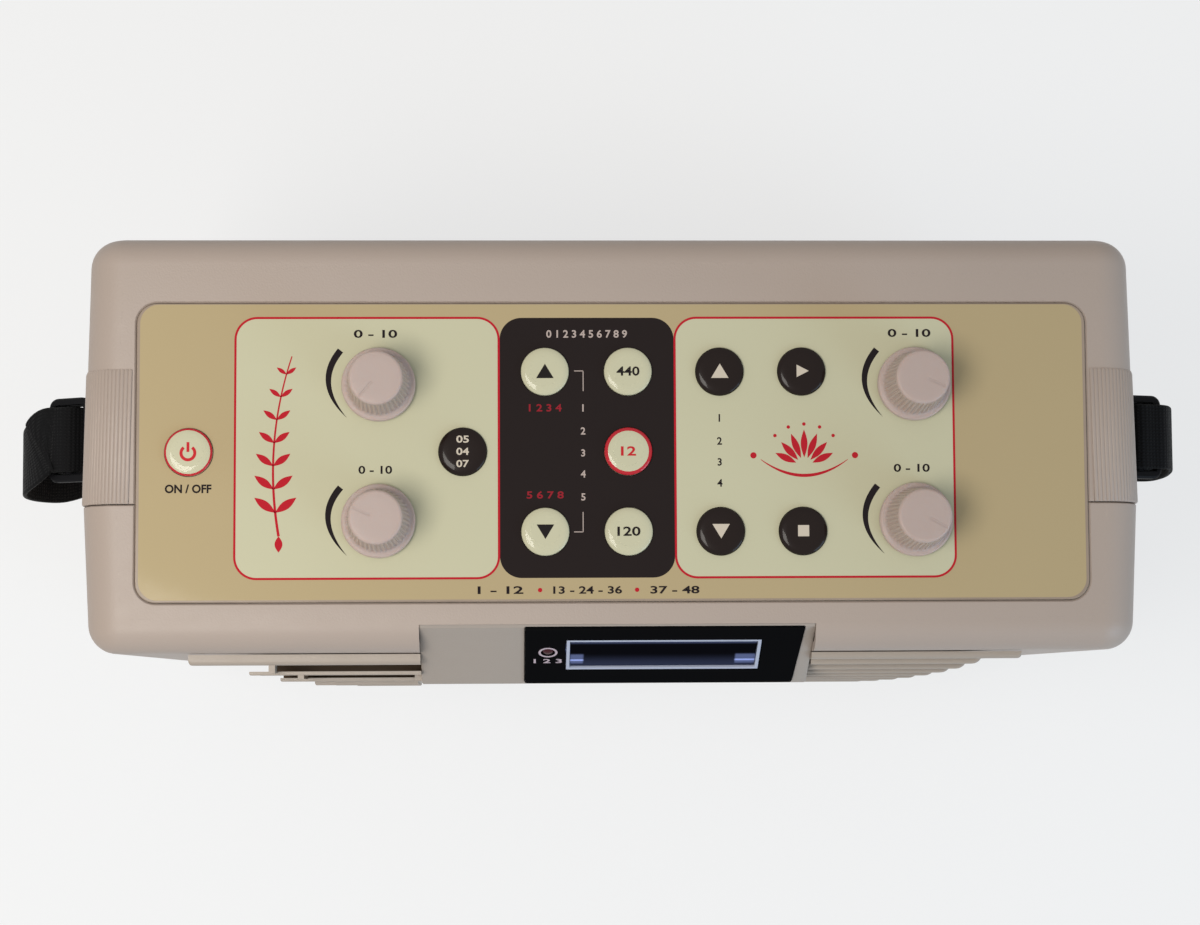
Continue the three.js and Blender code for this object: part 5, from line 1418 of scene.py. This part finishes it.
# The strap's path from the bar, in millimetres. The tail and the thread lie along the buckle,
# as out and up. The hang and the run behind the unit are out, a share of the way to the rear,
# up, and a share of a quarter turn.
tail_line = [(22, -2.4), (18, -1.9), (13, -1.6), (8, -1.9), (4, -2.5)]
thread_line = [(3.2, 2), (5.6, 0.9), (8.4, 0.8), (10.1, 1.7), (12.5, 5.3), (14.2, 6.4),
               (18, 6.3), (21.8, 6.2)]
left_hang = [(26.1, -0.06, -8.5, 0), (29.9, -0.1, -15, 0), (31.2, -0.115, -25, 0.02),
             (28.2, -0.12, -36, 0.05), (22.5, -0.11, -45, 0.12), (16.5, -0.06, -53, 0.3),
             (13.5, 0.05, -61, 0.55)]
right_hang = [(25.8, 0, -6, 0), (27.4, -0.01, -14, 0), (27.5, -0.02, -25, 0.02),
              (25.4, -0.02, -36, 0.06), (20.5, 0, -46, 0.14), (16.5, 0.04, -54, 0.3),
              (13.5, 0.12, -62, 0.55)]
rear_run = [(12, 0.26, -68, 0.8), (11, 0.52, -73, 1), (9, 0.75, -77, 1), (3, 0.91, -81, 1),
            (-9, 0.985, -84, 1), (-31, 1, -87, 1), (-66, 1, -90, 1), (-106, 1, -91.5, 1)]


def strap_half(tilt, hang):
    """The right half's marks, as [x, y, z, turn]: along the buckle, then free to the rear."""
    angle = -np.pi / 2 - np.arange(7) / 6 * np.pi
    loop_radius = bar_radius + webbing_gap + webbing_thick / 2 + slack
    loop = np.column_stack([np.cos(angle), np.sin(angle)]) * loop_radius
    near = np.concatenate([tail_line, loop, thread_line])
    out_way = near[:, 0] * np.cos(tilt) + near[:, 1] * np.sin(tilt)
    up_way = near[:, 1] * np.cos(tilt) - near[:, 0] * np.sin(tilt)
    near = np.column_stack([bar_column + out_way, np.full(len(near), anchor_row),
                            anchor_level + up_way, np.zeros(len(near))])
    free = np.array(hang + rear_run, float)
    free = np.column_stack([bar_column + free[:, 0],
                            anchor_row + free[:, 1] * (strap_run - anchor_row),
                            anchor_level + free[:, 2], free[:, 3]])
    return np.concatenate([near, free, [(0, strap_run, anchor_level - strap_sag, 1)]])


def smooth_route(marks, per):
    """The curve through all marks, each stretch a cubic whose speed at a mark comes from the
    square roots of the distances to its neighbours, so that it neither loops nor overshoots."""
    ends = np.concatenate([[2 * marks[0] - marks[1]], marks, [2 * marks[-1] - marks[-2]]])
    before, first, last, after = (ends[i:len(ends) - 3 + i] for i in range(4))
    gap = [np.sqrt(np.linalg.norm(b - a, axis=1))[:, None]
           for a, b in ((before, first), (first, last), (last, after))]
    leave = ((first - before) / gap[0] - (last - before) / (gap[0] + gap[1])
             + (last - first) / gap[1]) * gap[1]
    arrive = ((last - first) / gap[1] - (after - first) / (gap[1] + gap[2])
              + (after - last) / gap[2]) * gap[1]
    t = np.linspace(0, 1, per, endpoint=False)[None, :, None]
    a, b, c, d = (p[:, None] for p in (first, last, leave, arrive))
    curve = (a * (2 * t ** 3 - 3 * t ** 2 + 1) + c * (t ** 3 - 2 * t ** 2 + t)
             + b * (3 * t ** 2 - 2 * t ** 3) + d * (t ** 3 - t ** 2))
    return np.concatenate([curve.reshape(-1, marks.shape[1]), marks[-1:]])


left_marks = strap_half(left_tilt, left_hang) * (-1, 1, 1, 1)
marks = np.concatenate([left_marks[:-1], strap_half(right_tilt, right_hang)[::-1]])
per = 8
route = smooth_route(marks[:, :3], per)
turns = np.interp(np.arange(len(route)) / per, np.arange(len(marks)), marks[:, 3]) * np.pi / 2
way = np.gradient(route, axis=0)
way /= np.linalg.norm(way, axis=1, keepdims=True)
across = np.column_stack([np.zeros(len(route)), np.cos(turns), np.sin(turns)])
across -= way * np.sum(across * way, 1, keepdims=True)
across /= np.linalg.norm(across, axis=1, keepdims=True)
lift = np.cross(way, across)
shape = rounded(webbing_width, webbing_thick, 0.6, steps=3)
rings = (route[:, None] + across[:, None] * shape[None, :, :1]
         + lift[:, None] * shape[None, :, 1:])
travel = np.concatenate([[0], np.cumsum(np.linalg.norm(np.diff(route, axis=0), axis=1))])

webbing, nodes, links, shader = plain_material("webbing_black")
unwrapped = nodes.new("ShaderNodeUVMap")
unwrapped.uv_map = "weave"
warp = set_inputs(nodes.new("ShaderNodeTexWave"), Scale=0.32)
weft = set_inputs(nodes.new("ShaderNodeTexWave"), Scale=0.26, Distortion=0.6, Detail=0)
warp.bands_direction, weft.bands_direction = "X", "Y"
both = nodes.new("ShaderNodeMath")
both.operation = "MULTIPLY"
for number, wave in enumerate((warp, weft)):
    links.new(unwrapped.outputs["UV"], wave.inputs["Vector"])
    links.new(wave.outputs["Fac"], both.inputs[number])
two_tone(nodes, links, both.outputs[0], srgb(7, 7, 8), srgb(15, 15, 16),
         shader.inputs["Base Color"])
bumped(nodes, links, shader, both.outputs[0], 0.7, 0.0003)
set_inputs(shader, Roughness=0.75, Specular_IOR_Level=0.12, Sheen_Weight=0.04,
           Sheen_Roughness=0.4)
strap = piece("strap", skin(rings), webbing, stands_for="strap", slot="webbing", smooth=50)
sheet_uv = strap.data.uv_layers.new(name="weave")
rest = points_of(strap.data) * 1000 - (sideways, seam, 0)
corner = np.empty(len(strap.data.loops), int)
strap.data.loops.foreach_get("vertex_index", corner)
nearest = sum((rest[:, None, axis] - route[:, axis]) ** 2 for axis in range(3)).argmin(1)
side_way = np.sum((rest - route[nearest]) * across[nearest], 1)
uv = np.column_stack([side_way, travel[nearest]])[corner]
sheet_uv.data.foreach_set("uv", uv.astype(np.float32).ravel())

# Feet and case screws: black rubber buttons pushed into the bottom, and four plated screws
# deep in the rear shell's sleeves.
rubber = moulded("foot_rubber", srgb(34, 34, 34), rough=0.85, grain=0.4, grain_size=0.0009)
# Each foot and each screw as radius and height along its axis.
for number, place in enumerate(foot_places, 1):
    profile = [(0.3, 0.0), (7.6, 0.0), (8.3, 0.15), (8.85, 0.6), (9.0, 1.2), (9.0, 3.9),
               (8.9, 4.0), (2.2, 4.0), (2.2, 7.4), (1.8, 8.0), (0.3, 8.0)]
    piece(f"foot_{number}", turned(profile, "z", place, 48), rubber,
          stands_for=f"foot_{number}", slot="foot")
plated = metal("screw_plated", srgb(170, 171, 172), 0.3)
slot_reach, slot_half, slot_span = 2.2, 0.4, (11.5, 14)
for number, (x, z) in enumerate(screw_places, 1):
    profile = [(0.2, -12.0), (0.9, -11.4), (1.4, -10.0), (1.4, 10.3), (2.6, 10.3), (2.9, 10.7),
               (2.9, 11.6), (2.5, 12.1), (1.6, 12.45), (0.2, 12.5)]
    slots = [block((x - across, x + across), slot_span, (z - up_way, z + up_way))
             for across, up_way in ((slot_reach, slot_half), (slot_half, slot_reach))]
    piece(f"case_screw_{number}", carved(turned(profile, "y", (x, z), 32), cut=slots), plated,
          stands_for=f"case_screw_{number}", slot="screw")

# Rear sockets: a black plate over the opening in the rear wall, with a two-pin mains inlet
# and a jack for an amplifier.
plate_face, plate_thick, inlet_proud = rear_depth + clearance, 1.6, 0.8
socket_front = plate_face + plate_thick + inlet_proud


def upright(loops, near, far):
    """A slab drawn in the plane of the rear wall."""
    flat, faces = slab(loops, near, far)
    return flat[:, (0, 2, 1)], faces


socket_column = 26.04
inlet, jack = (socket_column, socket_level), (-socket_column, socket_level)
jack_radius, jack_bore, jack_length, jack_depth = 5.0, 3.25, 22, 18
inlet_length, well_depth, pin_radius, pin_column = 17, 12, 1.2, 4.0
piece("socket_plate", upright([rounded(92, 32, 3, (0, socket_level), 8),
                               rounded(21.6, 12.6, 3.3, inlet, 6),
                               circle(jack_radius + clearance, jack, 48)],
                              plate_face, plate_face + plate_thick), nylon,
      stands_for="socket_plate", slot="black_plastic", soften=0.3)
well = skin(along("y", rounded(17, 8, 2, inlet, 6),
                  (socket_front - well_depth, socket_front + overrun)))
outer, inner = rounded(21, 12, 3, inlet, 6), rounded(20.2, 11.2, 2.6, inlet, 6)
inlet_body = skin(along("y", [outer, outer, inner],
                        (socket_front - inlet_length, socket_front - 0.4, socket_front)))
piece("mains_inlet", carved(inlet_body, cut=[well]), nylon, stands_for="mains_inlet",
      slot="black_plastic")
pins = [rod("y", pin_radius, (inlet[0] + x, inlet[1]),
            (socket_front - well_depth - 0.5, socket_front - 3), 24)
        for x in (-pin_column, pin_column)]
piece("inlet_pins", merged(*pins), plated, slot="shaft")
tube = carved(rod("y", jack_radius, jack, (socket_front - jack_length, socket_front), 48),
              cut=[rod("y", jack_bore, jack,
                       (socket_front - jack_depth, socket_front + overrun), 40)])
piece("output_jack", tube, plated, stands_for="output_jack", slot="black_plastic", soften=0.3)

# Inside: the main board with its heat sink and capacitors, the mains transformer, and the
# flat cable from the key board.
dress("main_board", board_green)
iron = moulded("transformer_iron", srgb(88, 84, 78), rough=0.5, drift=0.2, grain=0.5,
               grain_size=0.0007)
dress("transformer", iron)
ribbon, nodes, links, shader = plain_material("cable_grey")
place = nodes.new("ShaderNodeTexCoord")
wires = set_inputs(nodes.new("ShaderNodeTexWave"), Scale=250)
wires.bands_direction = "X"
links.new(place.outputs["Object"], wires.inputs["Vector"])
two_tone(nodes, links, wires.outputs["Fac"], srgb(120, 122, 128), srgb(158, 160, 166),
         shader.inputs["Base Color"])
set_inputs(shader, Roughness=0.55)
dress("flat_cable", ribbon)
